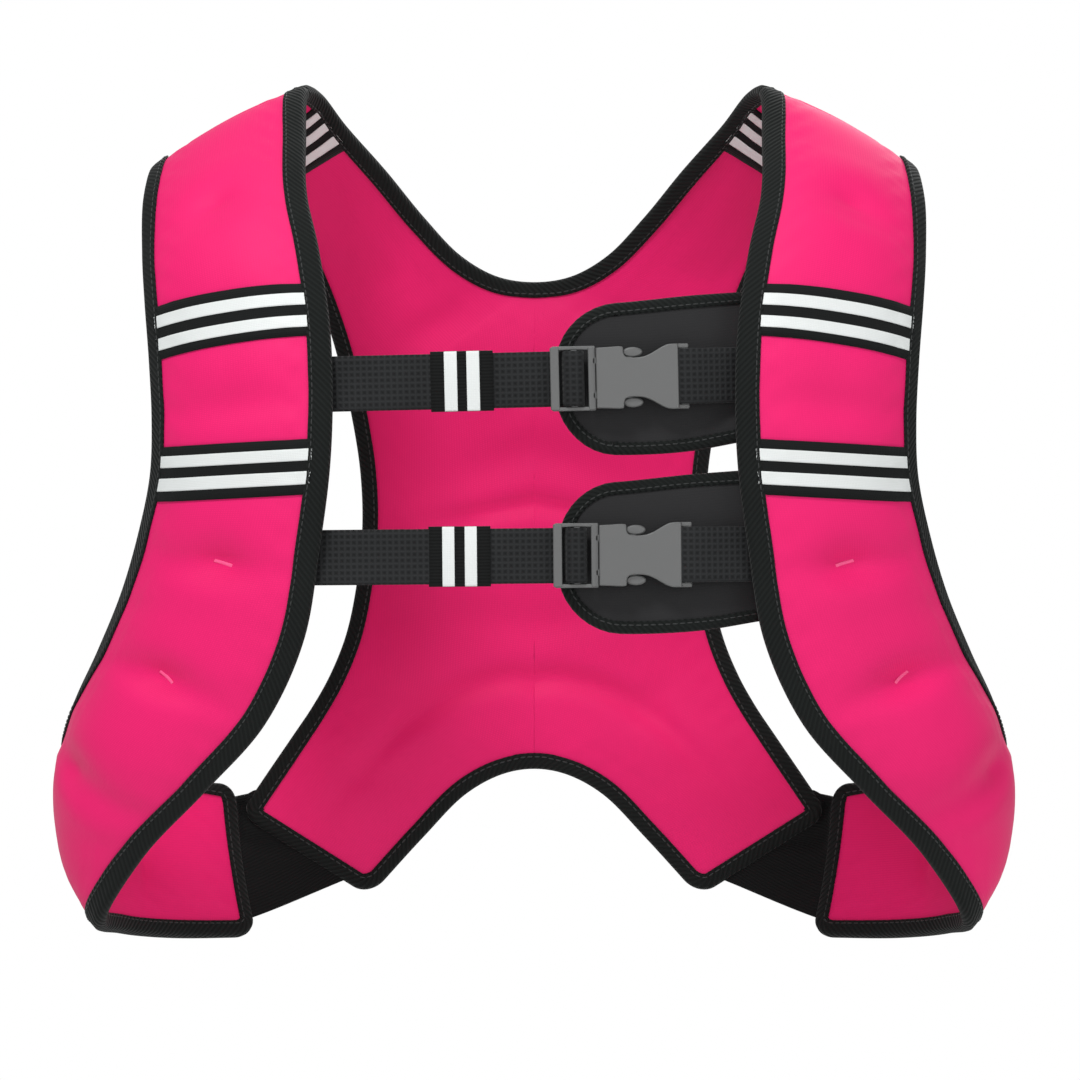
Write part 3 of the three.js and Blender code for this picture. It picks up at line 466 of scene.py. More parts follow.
def spline(knots: Array, at: Array) -> Array:
    """Follow a centripetal spline through knots.

    Args:
        knots: The points that the spline passes.
        at: Places along it, counted in knots.

    Returns:
        The point at each place.
    """
    last = len(knots) - 1
    low = np.clip(np.floor(at).astype(int), 0, last - 1)
    w = (at - low)[:, None]
    ends = np.vstack([2 * knots[0] - knots[1], knots, 2 * knots[-1] - knots[-2]])
    a, b, c, d = (ends[low + k] for k in range(4))
    gaps = [np.sqrt(np.linalg.norm(q - p, axis=1))[:, None] for p, q in ((a, b), (b, c), (c, d))]
    g0, g1, g2 = (np.maximum(g, 1e-4) for g in gaps)
    t1 = ((b - a) / g0 - (c - a) / (g0 + g1) + (c - b) / g1) * g1
    t2 = ((c - b) / g1 - (d - b) / (g1 + g2) + (d - c) / g2) * g1
    return (b + w * t1 + w ** 2 * (3 * (c - b) - 2 * t1 - t2)
            + w ** 3 * (2 * (b - c) + t1 + t2))


@dataclass
class Edge:
    """A smooth edge through a table's points, sharp at its breaks."""

    points: Array
    breaks: tuple[int, ...] = ()
    beyond: tuple[tuple[Array | None, Array | None], ...] = ()

    def at(self, rows: Array) -> Array:
        """Give the edge's point at each row.

        Args:
            rows: Places in table rows.

        Returns:
            The points.
        """
        stops = [0, *self.breaks, len(self.points) - 1]
        made = np.zeros((len(rows), 3))
        done = np.zeros(len(rows), bool)
        for index, (low, high) in enumerate(zip(stops, stops[1:])):
            before, after = self.beyond[index] if index < len(self.beyond) else (None, None)
            knots = self.points[low:high + 1]
            if before is not None:
                knots = np.vstack([before, knots])
            if after is not None:
                knots = np.vstack([knots, after])
            pick = ~done & ((rows <= high) | (high == stops[-1]))
            lead = 1 if before is not None else 0
            made[pick] = spline(knots, np.maximum(rows[pick] - low + lead, 0.0))
            done |= pick
        return made


@dataclass
class Sheet:
    """A padded sheet of the wearer's right side, between an arm edge and an inner edge."""

    arm: Edge
    inner: Edge
    bows: Array
    face: int
    dents: tuple[tuple[float, ...], ...] = ()
    centre: tuple[int, int] | None = None
    tapes: tuple[tuple[float, float], ...] = ()
    edge: float = EDGE_THICKNESS
    full: float = PAD_THICKNESS
    radius: float = CORNER_RADIUS
    pucker: float = 0.55
    reach: float = PAD_REACH
    legs: tuple[float, float, float] = (4.9, 4.9, 4.9)
    tails: tuple[float, float] = (4.9, 4.9)

    def leg(self, kind: str, row: Array) -> Array:
        """Give how far the binding reaches in along an edge.

        Args:
            kind: The edge: arm, end or inner.
            row: Places along.

        Returns:
            The widths of the binding's legs.
        """
        arm, end, inner = self.legs
        if kind == "inner":
            return np.interp(row, (11.0, 13.0), (inner, self.tails[1]))
        if kind == "arm":
            return np.interp(row, (12.0, 14.5), (arm, self.tails[0]))
        return np.full(len(row), end)

    @property
    def last(self) -> int:
        """Return the last row's number."""
        return len(self.bows) - 1

    def width(self, row: Array) -> Array:
        """Give the sheet's width at each row."""
        return np.linalg.norm(self.arm.at(row) - self.inner.at(row), axis=1)

    def middle(self, share: Array, row: Array) -> Array:
        """Give the sheet's middle surface.

        Args:
            share: Places across, 0 at the arm edge.
            row: Places along, in table rows.

        Returns:
            The points.
        """
        ahead = np.clip(row + SLOPE_STEP, 2 * SLOPE_STEP, self.last)
        behind = ahead - 2 * SLOPE_STEP
        run = (self.arm.at(ahead) + self.inner.at(ahead)
               - self.arm.at(behind) - self.inner.at(behind))
        arm = self.arm.at(row)
        chord = self.inner.at(row) - arm
        out = np.cross(run, chord)
        out *= -self.face / np.linalg.norm(out, axis=1)[:, None]
        bow = np.interp(row, np.arange(self.last + 1), self.bows) * STRAP_BOW
        return (arm + chord * share[:, None]
                + out * (bow * 4 * share * (1 - share))[:, None])

    def slopes(self, share: Array, row: Array) -> tuple[Array, Array]:
        """Give how the middle surface runs.

        Args:
            share: Places across.
            row: Places along.

        Returns:
            The change for each unit across and for each row along.
        """
        right = np.minimum(share + SLOPE_STEP, 1)
        left = np.maximum(right - 2 * SLOPE_STEP, 0)
        ahead = np.clip(row + SLOPE_STEP, 2 * SLOPE_STEP, self.last)
        behind = ahead - 2 * SLOPE_STEP
        across = (self.middle(right, row) - self.middle(left, row)) / (right - left)[:, None]
        along = (self.middle(share, ahead) - self.middle(share, behind)) / (2 * SLOPE_STEP)
        return across, along

    def normal(self, share: Array, row: Array) -> Array:
        """Give the way out of the sheet's outer face.

        Args:
            share: Places across.
            row: Places along.

        Returns:
            Unit vectors.
        """
        across, along = self.slopes(share, row)
        out = np.cross(along, across)
        return out * -self.face / np.linalg.norm(out, axis=1)[:, None]

    def stretch(self, share: Array, row: Array) -> Array:
        """Give how many millimetres a row is long at places across and along."""
        return np.linalg.norm(self.slopes(share, row)[1], axis=1)

    def rim_frame(self, share: Array, row: Array) -> tuple[Array, Array, Array]:
        """Give the rim and the ways out there.

        Args:
            share: Places across.
            row: Places along.

        Returns:
            The rim's points, the outer face's normals and unit vectors away from the sheet.
        """
        edge, normal = self.middle(share, row), self.normal(share, row)
        outward = np.cross(np.gradient(edge, axis=0), normal)
        outward /= np.linalg.norm(outward, axis=1)[:, None]
        half = np.full(len(edge), 0.5)
        inside = self.middle(half, np.minimum(row, self.last - 0.5)) - edge
        return edge, normal, outward * -np.sign((outward * inside).sum(1))[:, None]

    def row(self, share: Array, along: Array) -> Array:
        """Turn shares of the sheet's length into rows, with the seam gap and rounded end.

        Args:
            share: Places across.
            along: Places along, from 0 to 1.

        Returns:
            Places in table rows.
        """
        one = np.ones(1)
        seam = SEAM_GAP / 2 / self.stretch(one * 0.5, one * 0.01)[0]
        width = self.width(one * self.last)[0]
        short = np.maximum(self.radius - np.minimum(share, 1 - share) * width, 0)
        pull = self.radius - np.sqrt(self.radius ** 2 - short ** 2)
        end = self.last - pull / self.stretch(one * 0.5, one * self.last)[0]
        plain = along * self.last
        whole = self.last - 1
        first = seam + plain * (1 - seam)
        final = whole + (plain - whole) * (end - whole)
        return np.where(plain < 1, first, np.where(plain <= whole, plain, final))

    @cached_property
    def sewn(self) -> list[Array]:
        """Return the sewn edges, each as points close together."""
        rows = np.linspace(-1, self.last, (self.last + 1) * SEWN_STEPS)
        shares = np.linspace(0, 1, END_STEPS)
        edges = [self.arm.at(rows)]
        if self.centre:
            neck, arch = self.centre
            for low, high in ((-1, neck), (arch, self.last)):
                half = self.inner.at(np.linspace(low, high, (high - low) * SEWN_STEPS))
                edges.append(np.vstack([half, mirror(half)]))
        else:
            edges.append(self.inner.at(rows))
        edges.append(self.middle(shares, self.row(shares, np.ones(END_STEPS))))
        return edges

    def thickness(self, share: Array, row: Array) -> Array:
        """Give the padding's thickness.

        Args:
            share: Places across.
            row: Places along.

        Returns:
            The thicknesses.
        """
        points = self.middle(share, row)
        width, stretch = self.width(row), self.stretch(share, row)
        away = [distance_to(points, line) for line in self.sewn]
        nearest = np.min(away, axis=0)
        full = np.ones(len(points))
        for distance in away:
            full *= 1 - (1 - np.minimum(distance / self.reach, 1)) ** 2
        for across, along, wide, long, depth in self.dents:
            aside = (share - across) * width / wide
            onward = (row - along) * stretch / long
            full *= 1 - depth * np.exp(-(aside ** 2) - onward ** 2)
        press, flat, fall = TAPE_PRESS
        for arm_row, inner_row in self.tapes:
            centre = arm_row + (inner_row - arm_row) * share
            beside = np.abs(row - centre) * stretch / (TAPE_WIDTH / 2)
            full *= 1 - press * np.exp(-np.clip(beside - flat, 0, None) ** 2 * fall)
        if self.reach == PAD_REACH:
            full *= np.interp(row, *zip(*FULLNESS))
        if self.centre:
            far, wide, depth, aside = ARCH_CREASE
            full *= 1 - depth * (np.exp(-((away[2] - far) / wide) ** 2)
                                 * np.exp(-(points[:, 0] / aside) ** 4))
        made = self.edge + (self.full - self.edge) * full
        ripple = sum(np.sin(points @ np.array(way) * rate + start) * part
                     for way, rate, start, part in RIPPLES)
        at, wide, onset = PUCKER_PLACE
        near = np.exp(-((nearest - at) / wide) ** 2)
        return made + self.pucker * ripple * near * np.minimum(nearest / onset, 1)

    def face_point(self, share: Array, row: Array, side: int, lift: Array | float = 0.0) -> Array:
        """Give points over a face of the sheet.

        Args:
            share: Places across.
            row: Places along.
            side: 1 for the outer face, -1 for the inner one.
            lift: Distance from the face.

        Returns:
            The points.
        """
        swollen = self.thickness(share, row) - self.edge
        part = OUTER_SHARE if side > 0 else 1 - OUTER_SHARE
        height = self.edge / 2 + swollen * part + lift
        return self.middle(share, row) + self.normal(share, row) * (side * height)[:, None]

    def settle(self, target: Array, share: Array, row: Array) -> tuple[Array, Array]:
        """Find the places on the sheet nearest to targets.

        Args:
            target: The points to come close to.
            share: First guesses across.
            row: First guesses along.

        Returns:
            The places across and along.
        """
        share, row = share.copy(), row.copy()
        for _ in range(SETTLE_ROUNDS):
            miss = target - self.middle(share, row)
            across, along = self.slopes(share, row)
            a, b = (across ** 2).sum(1), (along ** 2).sum(1)
            c = (across * along).sum(1)
            p, q = (across * miss).sum(1), (along * miss).sum(1)
            fall = a * b - c * c
            share = np.clip(share + SETTLE_SHARE * (p * b - q * c) / fall, 0, 1)
            row = np.clip(row + SETTLE_SHARE * (q * a - p * c) / fall, 0.005, self.last)
        return share, row

    def lanes(self, count: int) -> Array:
        """Give places across that are close where the end's corners are rounded.

        Args:
            count: Cells across.

        Returns:
            Shares from 0 to 1.
        """
        corner = max(count // 6, 3)
        turn = np.linspace(0, np.pi / 2, corner + 1)
        width = self.width(np.ones(1) * self.last)[0]
        near = self.radius / width * (1 - np.cos(turn))
        middle = np.linspace(near[-1], 1 - near[-1], count - 2 * corner + 1)[1:-1]
        return np.concatenate([near, middle, 1 - near[::-1]])

    def grid(self, across: int, along: int) -> tuple[Array, Array]:
        """Give the places of a grid over the whole sheet.

        Args:
            across: Cells across.
            along: Cells along.

        Returns:
            Places across and along, each with a row for each step along.
        """
        lane = np.tile(self.lanes(across), along + 1)
        way = np.repeat(np.linspace(0, 1, along + 1), across + 1)
        return lane, self.row(lane, way)


def add_object(name: str, data: bpy.types.ID) -> bpy.types.Object:
    """Add an object to the scene.

    Args:
        name: Its name.
        data: What it shows.

    Returns:
        The object.
    """
    made = bpy.data.objects.new(name, data)
    bpy.context.scene.collection.objects.link(made)
    return made


class Mesher:
    """Gathers grids into one mesh, with a UV map in metres."""

    def __init__(self) -> None:
        """Start an empty mesh."""
        self.bm = bmesh.new()
        self.uv = self.bm.loops.layers.uv.new("UVMap")

    def grid(self, points: Array, uv: Array,
             facing: Array | None = None) -> list[list[bmesh.types.BMVert]]:
        """Lay a grid through points.

        Args:
            points: Points by row and column, in millimetres.
            uv: The UV place of each, in millimetres.
            facing: The way out at each point, where the grid stays open.

        Returns:
            The vertices by row and column.
        """
        rows, columns = points.shape[:2]
        made = bmesh.ops.create_grid(
            self.bm, x_segments=columns - 1, y_segments=rows - 1, size=1.0)["verts"]
        table = [[None] * columns for _ in range(rows)]
        place = {}
        for vert in made:
            column = round((vert.co.x + 1) / 2 * (columns - 1))
            row = round((vert.co.y + 1) / 2 * (rows - 1))
            vert.co = Vector(points[row, column] * MM)
            table[row][column] = vert
            place[vert] = uv[row, column] * MM
        faces = list({face for vert in made for face in vert.link_faces})
        for face in faces:
            for loop in face.loops:
                loop[self.uv].uv = place[loop.vert]
        if facing is not None:
            across = np.gradient(points, axis=1)
            along = np.gradient(points, axis=0)
            if (np.cross(across, along) * facing).sum() < 0:
                bmesh.ops.reverse_faces(self.bm, faces=faces)
        return table

    def rim(self, one: list, two: list, keep_middle_open: bool) -> None:
        """Close the rim between two grids of the same size.

        Args:
            one: The first grid's vertices.
            two: The second grid's vertices.
            keep_middle_open: Leave out what lies on the vest's middle.
        """
        rows, columns = len(one), len(one[0])
        ring = [(0, c) for c in range(columns)]
        ring += [(r, columns - 1) for r in range(1, rows)]
        ring += [(rows - 1, c) for c in range(columns - 2, -1, -1)]
        ring += [(r, 0) for r in range(rows - 2, 0, -1)]
        for (a, b), (c, d) in zip(ring, ring[1:] + ring[:1]):
            first, second = one[a][b], one[c][d]
            if keep_middle_open and max(abs(first.co.x), abs(second.co.x)) < 1e-6:
                continue
            face = self.bm.faces.new((first, second, two[c][d], two[a][b]))
            for loop in face.loops:
                loop[self.uv].uv = (loop.vert.co.x, loop.vert.co.z)

    def finish(self, name: str, finish: Finish, node: str | None = None, weld: bool = False,
               closed: bool = True) -> bpy.types.Object:
        """Make the object.

        Args:
            name: The object's name.
            finish: The material's maker.
            node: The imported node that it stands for, if there is one.
            weld: Merge points that lie on each other.
            closed: The mesh is closed, so its faces can be turned outwards.

        Returns:
            The object.
        """
        if weld:
            bmesh.ops.remove_doubles(self.bm, verts=self.bm.verts, dist=1e-5)
        if closed:
            bmesh.ops.recalc_face_normals(self.bm, faces=self.bm.faces)
        for face in self.bm.faces:
            face.smooth = True
        mesh = bpy.data.meshes.new(name)
        self.bm.to_mesh(mesh)
        self.bm.free()
        mesh.materials.append(finish.material())
        made = add_object(name, mesh)
        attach(made, "root")
        if node:
            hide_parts(node)
        LOG.info("%s: %d faces", name, len(mesh.polygons))
        return made


def walled(kind: str, node: str, points: Array, facing: Array, wall: float, finish: Finish,
           weld: bool = False) -> bpy.types.Object:
    """Make a thin piece from its upper face.

    Args:
        kind: The start of the object's name.
        node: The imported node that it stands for.
        points: The upper face by row and column, in millimetres.
        facing: The way out at each point.
        wall: The wall in millimetres, towards the inside.
        finish: Its finish.
        weld: Merge points that lie on each other.

    Returns:
        The object.
    """
    mesher = Mesher()
    mesher.grid(points, arc_uv(points), facing)
    piece = mesher.finish(f"{kind}_{node}", finish, node, weld=weld, closed=False)
    thick = piece.modifiers.new("wall", "SOLIDIFY")
    thick.thickness, thick.offset = wall * MM, -1.0
    return piece


def cushion(node: str, halves: list[tuple[Array, Array, Array]], finish: Finish) -> None:
    """Make a padded piece.

    Args:
        node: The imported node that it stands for.
        halves: The outer face, inner face and UV places of the piece or of its two halves.
        finish: Its finish.
    """
    mesher = Mesher()
    joined = len(halves) > 1
    for outer, inner, uv in halves:
        mesher.rim(mesher.grid(outer, uv), mesher.grid(inner, uv), joined)
    mesher.finish(f"padded_{node}", finish, node, weld=joined)


def arc_uv(points: Array) -> Array:
    """Measure a grid's own lengths for its UV map.

    Args:
        points: Points by row and column.

    Returns:
        For each point, how far it lies along the rows and across the columns.
    """
    along = np.zeros(points.shape[:2])
    across = np.zeros(points.shape[:2])
    steps = np.linalg.norm(np.diff(points, axis=0), axis=2).mean(axis=1)
    along[1:] = np.cumsum(steps)[:, None]
    lanes = np.linalg.norm(np.diff(points, axis=1), axis=2)
    across[:, 1:] = np.cumsum(lanes, axis=1)
    across -= across.mean(axis=1)[:, None]
    return np.stack([along, across], axis=2)


@dataclass
class Body:
    """The padded panels, worked out once for the wearer's right side."""

    front: Sheet = field(init=False)
    back: Sheet = field(init=False)

    def __post_init__(self) -> None:
        """Make the two sheets."""
        front_arm, front_chest = spots(FRONT_ROWS, 0), spots(FRONT_ROWS, 3)
        back_arm, back_inner = spots(BACK_ROWS, 0), spots(BACK_ROWS, 3)
        self.front = Sheet(
            arm=Edge(front_arm, (), ((back_arm[1], None),)),
            inner=Edge(front_chest, (), ((back_inner[1], None),)),
            bows=FRONT_ROWS[:, 6], face=-1, dents=FRONT_DENTS, legs=(6.8, 5.2, 7.5),
            tails=(2.2, 4.9),
            tapes=tuple((arm, inner) for _, arm, inner in FRONT_TAPES))
        self.back = Sheet(
            arm=Edge(back_arm, (), ((front_arm[1], None),)),
            inner=Edge(back_inner, (NECK_MIDDLE, ARCH_MIDDLE), (
                (front_chest[1], mirror(back_inner[NECK_MIDDLE - 1])),
                (None, None),
                (mirror(back_inner[ARCH_MIDDLE + 1]), None))),
            bows=BACK_ROWS[:, 6], face=1, dents=BACK_DENTS,
            centre=(NECK_MIDDLE, ARCH_MIDDLE))

    def faces(self, sheet: Sheet) -> tuple[Array, Array]:
        """Give a sheet's outer and inner faces.

        Args:
            sheet: The sheet.

        Returns:
            Points by row and column for the outer and the inner face.
        """
        along = sheet.last * ROW_CELLS
        lane, way = sheet.grid(PANEL_CELLS, along)
        shape = (along + 1, PANEL_CELLS + 1, 3)
        return tuple(sheet.face_point(lane, way, side).reshape(shape) for side in (1, -1))

    def level_middle(self, points: Array, reach: float = 14.0, clear: float = 0.15,
                     fade: float = 2.5) -> None:
        """Take the slope out of the back's face where its two halves meet.

        Args:
            points: The face's points by row and column, the last column on the middle.
            reach: How far from the middle the face changes.
            clear: Rows next to the neck and the arch that stay as they are.
            fade: How fast the change sets in past them.
        """
        for index, line in enumerate(points):
            if abs(line[-1, 0]) < 1.5:
                line[-1, 0] = 0.0
                row = index / (len(points) - 1) * self.back.last
                part = np.clip(min(row - NECK_MIDDLE - clear, ARCH_MIDDLE - clear - row) * fade,
                               0, 1)
                aside = np.abs(line[::-1, 0])
                level = np.where(aside < reach, aside ** 2 / (2 * reach) + reach / 2, aside)
                level = aside + (level - aside) * part
                line[:, 1] = np.interp(level, aside, line[::-1, 1])[::-1]

    def build(self) -> None:
        """Make the three padded panels."""
        outer, inner = self.faces(self.front)
        uv = arc_uv(outer)
        for side in Side:
            cushion(f"front_panel_{side.suffix}", [(side.place(outer), side.place(inner), uv)],
                    PINK)
        outer, inner = self.faces(self.back)
        uv = arc_uv(outer)
        for points in (outer, inner):
            self.level_middle(points)
        other = np.stack([uv[:, :, 0], 2 * uv[:, -1:, 1] - uv[:, :, 1]], axis=2)
        cushion("back_panel", [(side.place(outer), side.place(inner), places)
                               for side, places in zip(Side, (uv, other))], PINK)


@dataclass
class Binding:
    """Folded tape sewn over a sheet's rim."""

    sheet: Sheet
    share: Array
    row: Array
    leg: Array
    lift: float = 1.25

    def seat(self, edge: Array, outward: Array, inset: Array, lift: float) -> list[Array]:
        """Give points over the sheet's faces, some way in from its rim.

        Args:
            edge: The rim's points.
            outward: The ways out of the sheet there.
            inset: Distances in from the rim.
            lift: Distance from the face.

        Returns:
            The points over the inner face and over the outer one.
        """
        share, row = self.sheet.settle(edge - outward * inset[:, None], self.share, self.row)
        return [self.sheet.face_point(share, row, face, lift) for face in (-1, 1)]

    def sections(self) -> tuple[Array, Array, Array]:
        """Work out the tape's sections.

        Returns:
            The sections' points, and the two lines of stitches with their normals.
        """
        edge, normal, outward = self.sheet.rim_frame(self.share, self.row)
        inner, outer = zip(*(
            self.seat(edge, outward, self.leg * part + step, self.lift * share + rise)
            for part, step, share, rise in BINDING_SECTION))
        radius = self.sheet.edge / 2 + self.lift
        fold = [edge + outward * (math.cos(turn) * radius * FOLD_REACH)
                + normal * (math.sin(turn) * radius) for turn in FOLD_TURNS]
        points = np.stack([*inner, *fold, *outer[::-1]], axis=1)
        stitches = self.seat(edge, outward, self.leg - STITCH_INSET, self.lift + STITCH_LIFT)
        return points, np.stack(stitches), np.stack([-normal, normal])


def stitch_places(line: Array, normal: Array) -> tuple[Array, Array, Array]:
    """Space stitches along a line.

    Args:
        line: The line's points.
        normal: The way out of the cloth at each.

    Returns:
        The stitches' middles, directions and normals.
    """
    steps = np.linalg.norm(np.diff(line, axis=0), axis=1)
    way = np.concatenate([[0], np.cumsum(steps)])
    at = np.arange(STITCH_PITCH / 2, way[-1], STITCH_PITCH)
    middle, ahead, out = (
        np.stack([np.interp(where, way, values[:, k]) for k in range(3)], axis=1)
        for where, values in ((at, line), (at + 0.3, line), (at, normal)))
    run = ahead - middle
    return middle, run / (np.linalg.norm(run, axis=1)[:, None] + 1e-9), out


def thread_mesh(name: str, middles: Array, runs: Array, outs: Array, long: float, thick: float,
                finish: Cloth) -> None:
    """Join short threads into one object.

    Args:
        name: The object's name.
        middles: Each thread's middle.
        runs: Each thread's direction.
        outs: The way out of the cloth at each.
        long: A thread's length in millimetres.
        thick: Its thickness in millimetres.
        finish: The thread's finish.
    """
    mesher = Mesher()
    turns = np.linspace(0, 2 * np.pi, 7)
    sections = ((-0.5, 0.25), (-0.36, 0.85), (0.0, 1.0), (0.36, 0.85), (0.5, 0.25))
    side = np.cross(runs, outs)
    side /= np.linalg.norm(side, axis=1)[:, None] + 1e-9
    template = bmesh.new()
    bmesh.ops.create_grid(template, x_segments=6, y_segments=4, size=1.0)
    faces = [[v.index for v in f.verts] for f in template.faces]
    order = [(round((v.co.y + 1) * 2), round((v.co.x + 1) * 3)) for v in template.verts]
    template.free()
    verts, polys = [], []
    for k in range(len(middles)):
        base = len(verts)
        for r, c in order:
            push, grow = sections[r]
            verts.append((middles[k] + runs[k] * push * long
                          + side[k] * math.cos(turns[c]) * grow * thick / 2
                          + outs[k] * math.sin(turns[c]) * grow * thick / 3) * MM)
        polys += [[base + v for v in face] for face in faces]
    mesh = bpy.data.meshes.new(name)
    mesh.from_pydata([tuple(v) for v in verts], [], polys)
    mesher.bm.from_mesh(mesh)
    bpy.data.meshes.remove(mesh)
    mesher.finish(name, finish, weld=True)


def rim_places(sheet: Sheet, parts: list[tuple[str, float, float]]) -> tuple[Array, Array, Array]:
    """Give close places along a sheet's rim.

    Args:
        sheet: The sheet.
        parts: Each stretch: inner, arm or end, and where it starts and stops.

    Returns:
        The places across and along, and how far the binding reaches in there.
    """
    shares, rows, legs = [], [], []
    for kind, start, stop in parts:
        if kind == "end":
            share = sheet.lanes(END_CELLS)[::-1]
            row = sheet.row(share, np.ones(len(share)))
        else:
            count = int(abs(stop - start) * ROW_CELLS) + 2
            way = np.linspace(start, stop, count)
            share = np.full(count, 1.0 if kind == "inner" else 0.0)
            row = sheet.row(share, way / sheet.last)
        first = 1 if shares else 0
        shares.append(share[first:])
        rows.append(row[first:])
        legs.append(sheet.leg(kind, row)[first:])
    even = np.convolve(np.pad(np.concatenate(legs), 6, mode="edge"), np.ones(13) / 13, "valid")
    return np.concatenate(shares), np.concatenate(rows), even


def bind(node: str, points: Array, lines: Array, outs: Array) -> None:
    """Make one binding and its stitches.

    Args:
        node: The node that it stands for.
        points: The sections.
        lines: The stitch lines.
        outs: The normals along them.
    """
    walled("folded", node, points, points - points.mean(axis=1, keepdims=True), BINDING_WALL,
           BINDING)
    spaced = [stitch_places(a, b) for a, b in zip(lines, outs)]
    thread_mesh(f"stitches_{node}", *(np.concatenate(part) for part in zip(*spaced)),
                STITCH_LONG, STITCH_THICK, BLACK_THREAD)


@dataclass
class Bindings:
    """All edge bindings of the vest, with their stitches."""

    body: Body

    def build(self) -> None:
        """Make the bindings of the panels."""
        front, back = self.body.front, self.body.back
        places = rim_places(front, [("inner", 0, front.last), ("end", 0, 0),
                                    ("arm", front.last, 0)])
        made = Binding(front, *places).sections()
        for side in Side:
            bind(f"front_binding_{side.suffix}", *map(side.place, made))
        for node, parts, turn in (
                ("neck_binding", [("inner", 0, NECK_MIDDLE)], 1),
                ("back_binding", [("inner", ARCH_MIDDLE, back.last), ("end", 0, 0),
                                  ("arm", back.last, 0)], -1)):
            points, *threads = Binding(back, *rim_places(back, parts)).sections()
            bind(node, doubled(points[::turn]),
                 *([doubled(line[::turn]) for line in group] for group in threads))


@dataclass
class Tapes:
    """The reflective tapes and their pale stripes."""

    body: Body

    def strip(self, sheet: Sheet, rows: tuple[float, float], offset: float, width: float,
              side: int, lift: float) -> tuple[Array, Array]:
        """Work out a strip across a sheet.

        Args:
            sheet: The sheet.
            rows: Where its middle crosses the arm edge and the other edge.
            offset: How far along from the tape's middle it lies.
            width: Its width.
            side: The face that it lies on.
            lift: Its height over that face.

        Returns:
            Points by row and column, and the way out at each.
        """
        across, along = TAPE_CELLS
        lane = np.tile(np.linspace(0, 1, across + 1), (along + 1, 1))
        centre = rows[0] + (rows[1] - rows[0]) * lane
        turn = np.repeat(np.linspace(-0.5, 0.5, along + 1), across + 1)
        width_there = sheet.width(centre.ravel())
        share = np.clip(lane.ravel(), (sheet.legs[0] - TAPE_UNDER) / width_there,
                        1 - (sheet.legs[2] - TAPE_UNDER) / width_there)
        stretch = sheet.stretch(share, centre.ravel())
        row = centre.ravel() + (offset + turn * width) / stretch
        points = sheet.face_point(share, row, side, lift)
        shape = (along + 1, across + 1, 3)
        return points.reshape(shape), (sheet.normal(share, row) * side).reshape(shape)

    def build(self) -> None:
        """Make the tapes of both shoulders and both front panels."""
        front, back = self.body.front, self.body.back
        jobs = []
        for name, *rows in FRONT_TAPES:
            name = f"chest_tape_{name}"
            jobs.append((name, front, rows, 0.0, TAPE_WIDTH, 1))
            jobs += [(f"{name}_stripe_{k + 1}", front, rows, turn * STRIPE_PITCH, STRIPE_WIDTH, 1)
                     for k, turn in enumerate((-0.5, 0.5))]
        jobs.append(("shoulder_tape", back, SHOULDER_TAPE, 0.0, SHOULDER_TAPE_WIDTH, -1))
        jobs += [(f"shoulder_stripe_{k + 1}", back, SHOULDER_TAPE, turn * STRIPE_PITCH,
                  STRIPE_WIDTH, -1) for k, turn in enumerate((-1, 0, 1))]
        for name, sheet, rows, offset, width, face in jobs:
            wall, lift, finish = ((STRIPE_WALL, STRIPE_LIFT, STRIPE) if "stripe" in name
                                  else (TAPE_WALL, TAPE_LIFT, TAPE))
            points, facing = self.strip(sheet, rows, offset, width, face, lift)
            for side in Side:
                walled("sewn", f"{name}_{side.suffix}", side.place(points),
                       side.place(facing), wall, finish)


@dataclass
class SideElastics:
    """The stretch fabric between each wing and the back panel."""

    body: Body
    wall: float = 1.8
    bow: float = 4.0
    overlap: float = 0.8
    fold: tuple[float, float, float] = (1.1, 21.0, 4.0)

    def stops(self, sheet: Sheet, share: Array, row: Array) -> tuple[Array, Array]:
        """Give where the fabric meets a sheet's binding, and the sheet's normals there."""
        edge, normal, outward = sheet.rim_frame(share, row)
        return edge + outward * self.overlap, normal

    def build(self) -> None:
        """Make both side elastics."""
        front, back = self.body.front, self.body.back
        wing = np.linspace(*ELASTIC_WING, 7)
        one, one_out = self.stops(front, wing, front.row(wing, np.ones(7)))
        slant = np.array([*(1 - np.arange(1, 7) / 6), 0.0])
        rows = back.row(slant, np.ones(7))
        rows[-1] = back.last - 0.5
        two, two_out = self.stops(back, slant, rows)
        fine = np.linspace(0, 6, 37)
        ends = [spline(a, fine) for a in (one, two)]
        outs = [spline(a, fine) for a in (one_out, two_out)]
        steps = np.linspace(0, 1, 31)[:, None, None]
        points = ends[0][None] * (1 - steps) + ends[1][None] * steps
        normal = outs[0][None] * (1 - steps) + outs[1][None] * steps
        normal /= np.linalg.norm(normal, axis=2)[:, :, None]
        place = np.linspace(0, 1, 37)[None, :, None]
        high, waves, slope = self.fold
        fold = high * np.sin(place * waves + steps * slope) * np.sin(np.pi * steps) ** 0.5
        fold *= np.clip(place * 1.6 - 0.2, 0, 1)
        points = points + normal * (self.bow * 4 * steps * (1 - steps) + fold + self.wall / 2)
        for side in Side:
            piece = walled("stretched", f"side_elastic_{side.suffix}", side.place(points),
                           side.place(normal), self.wall, ELASTIC)


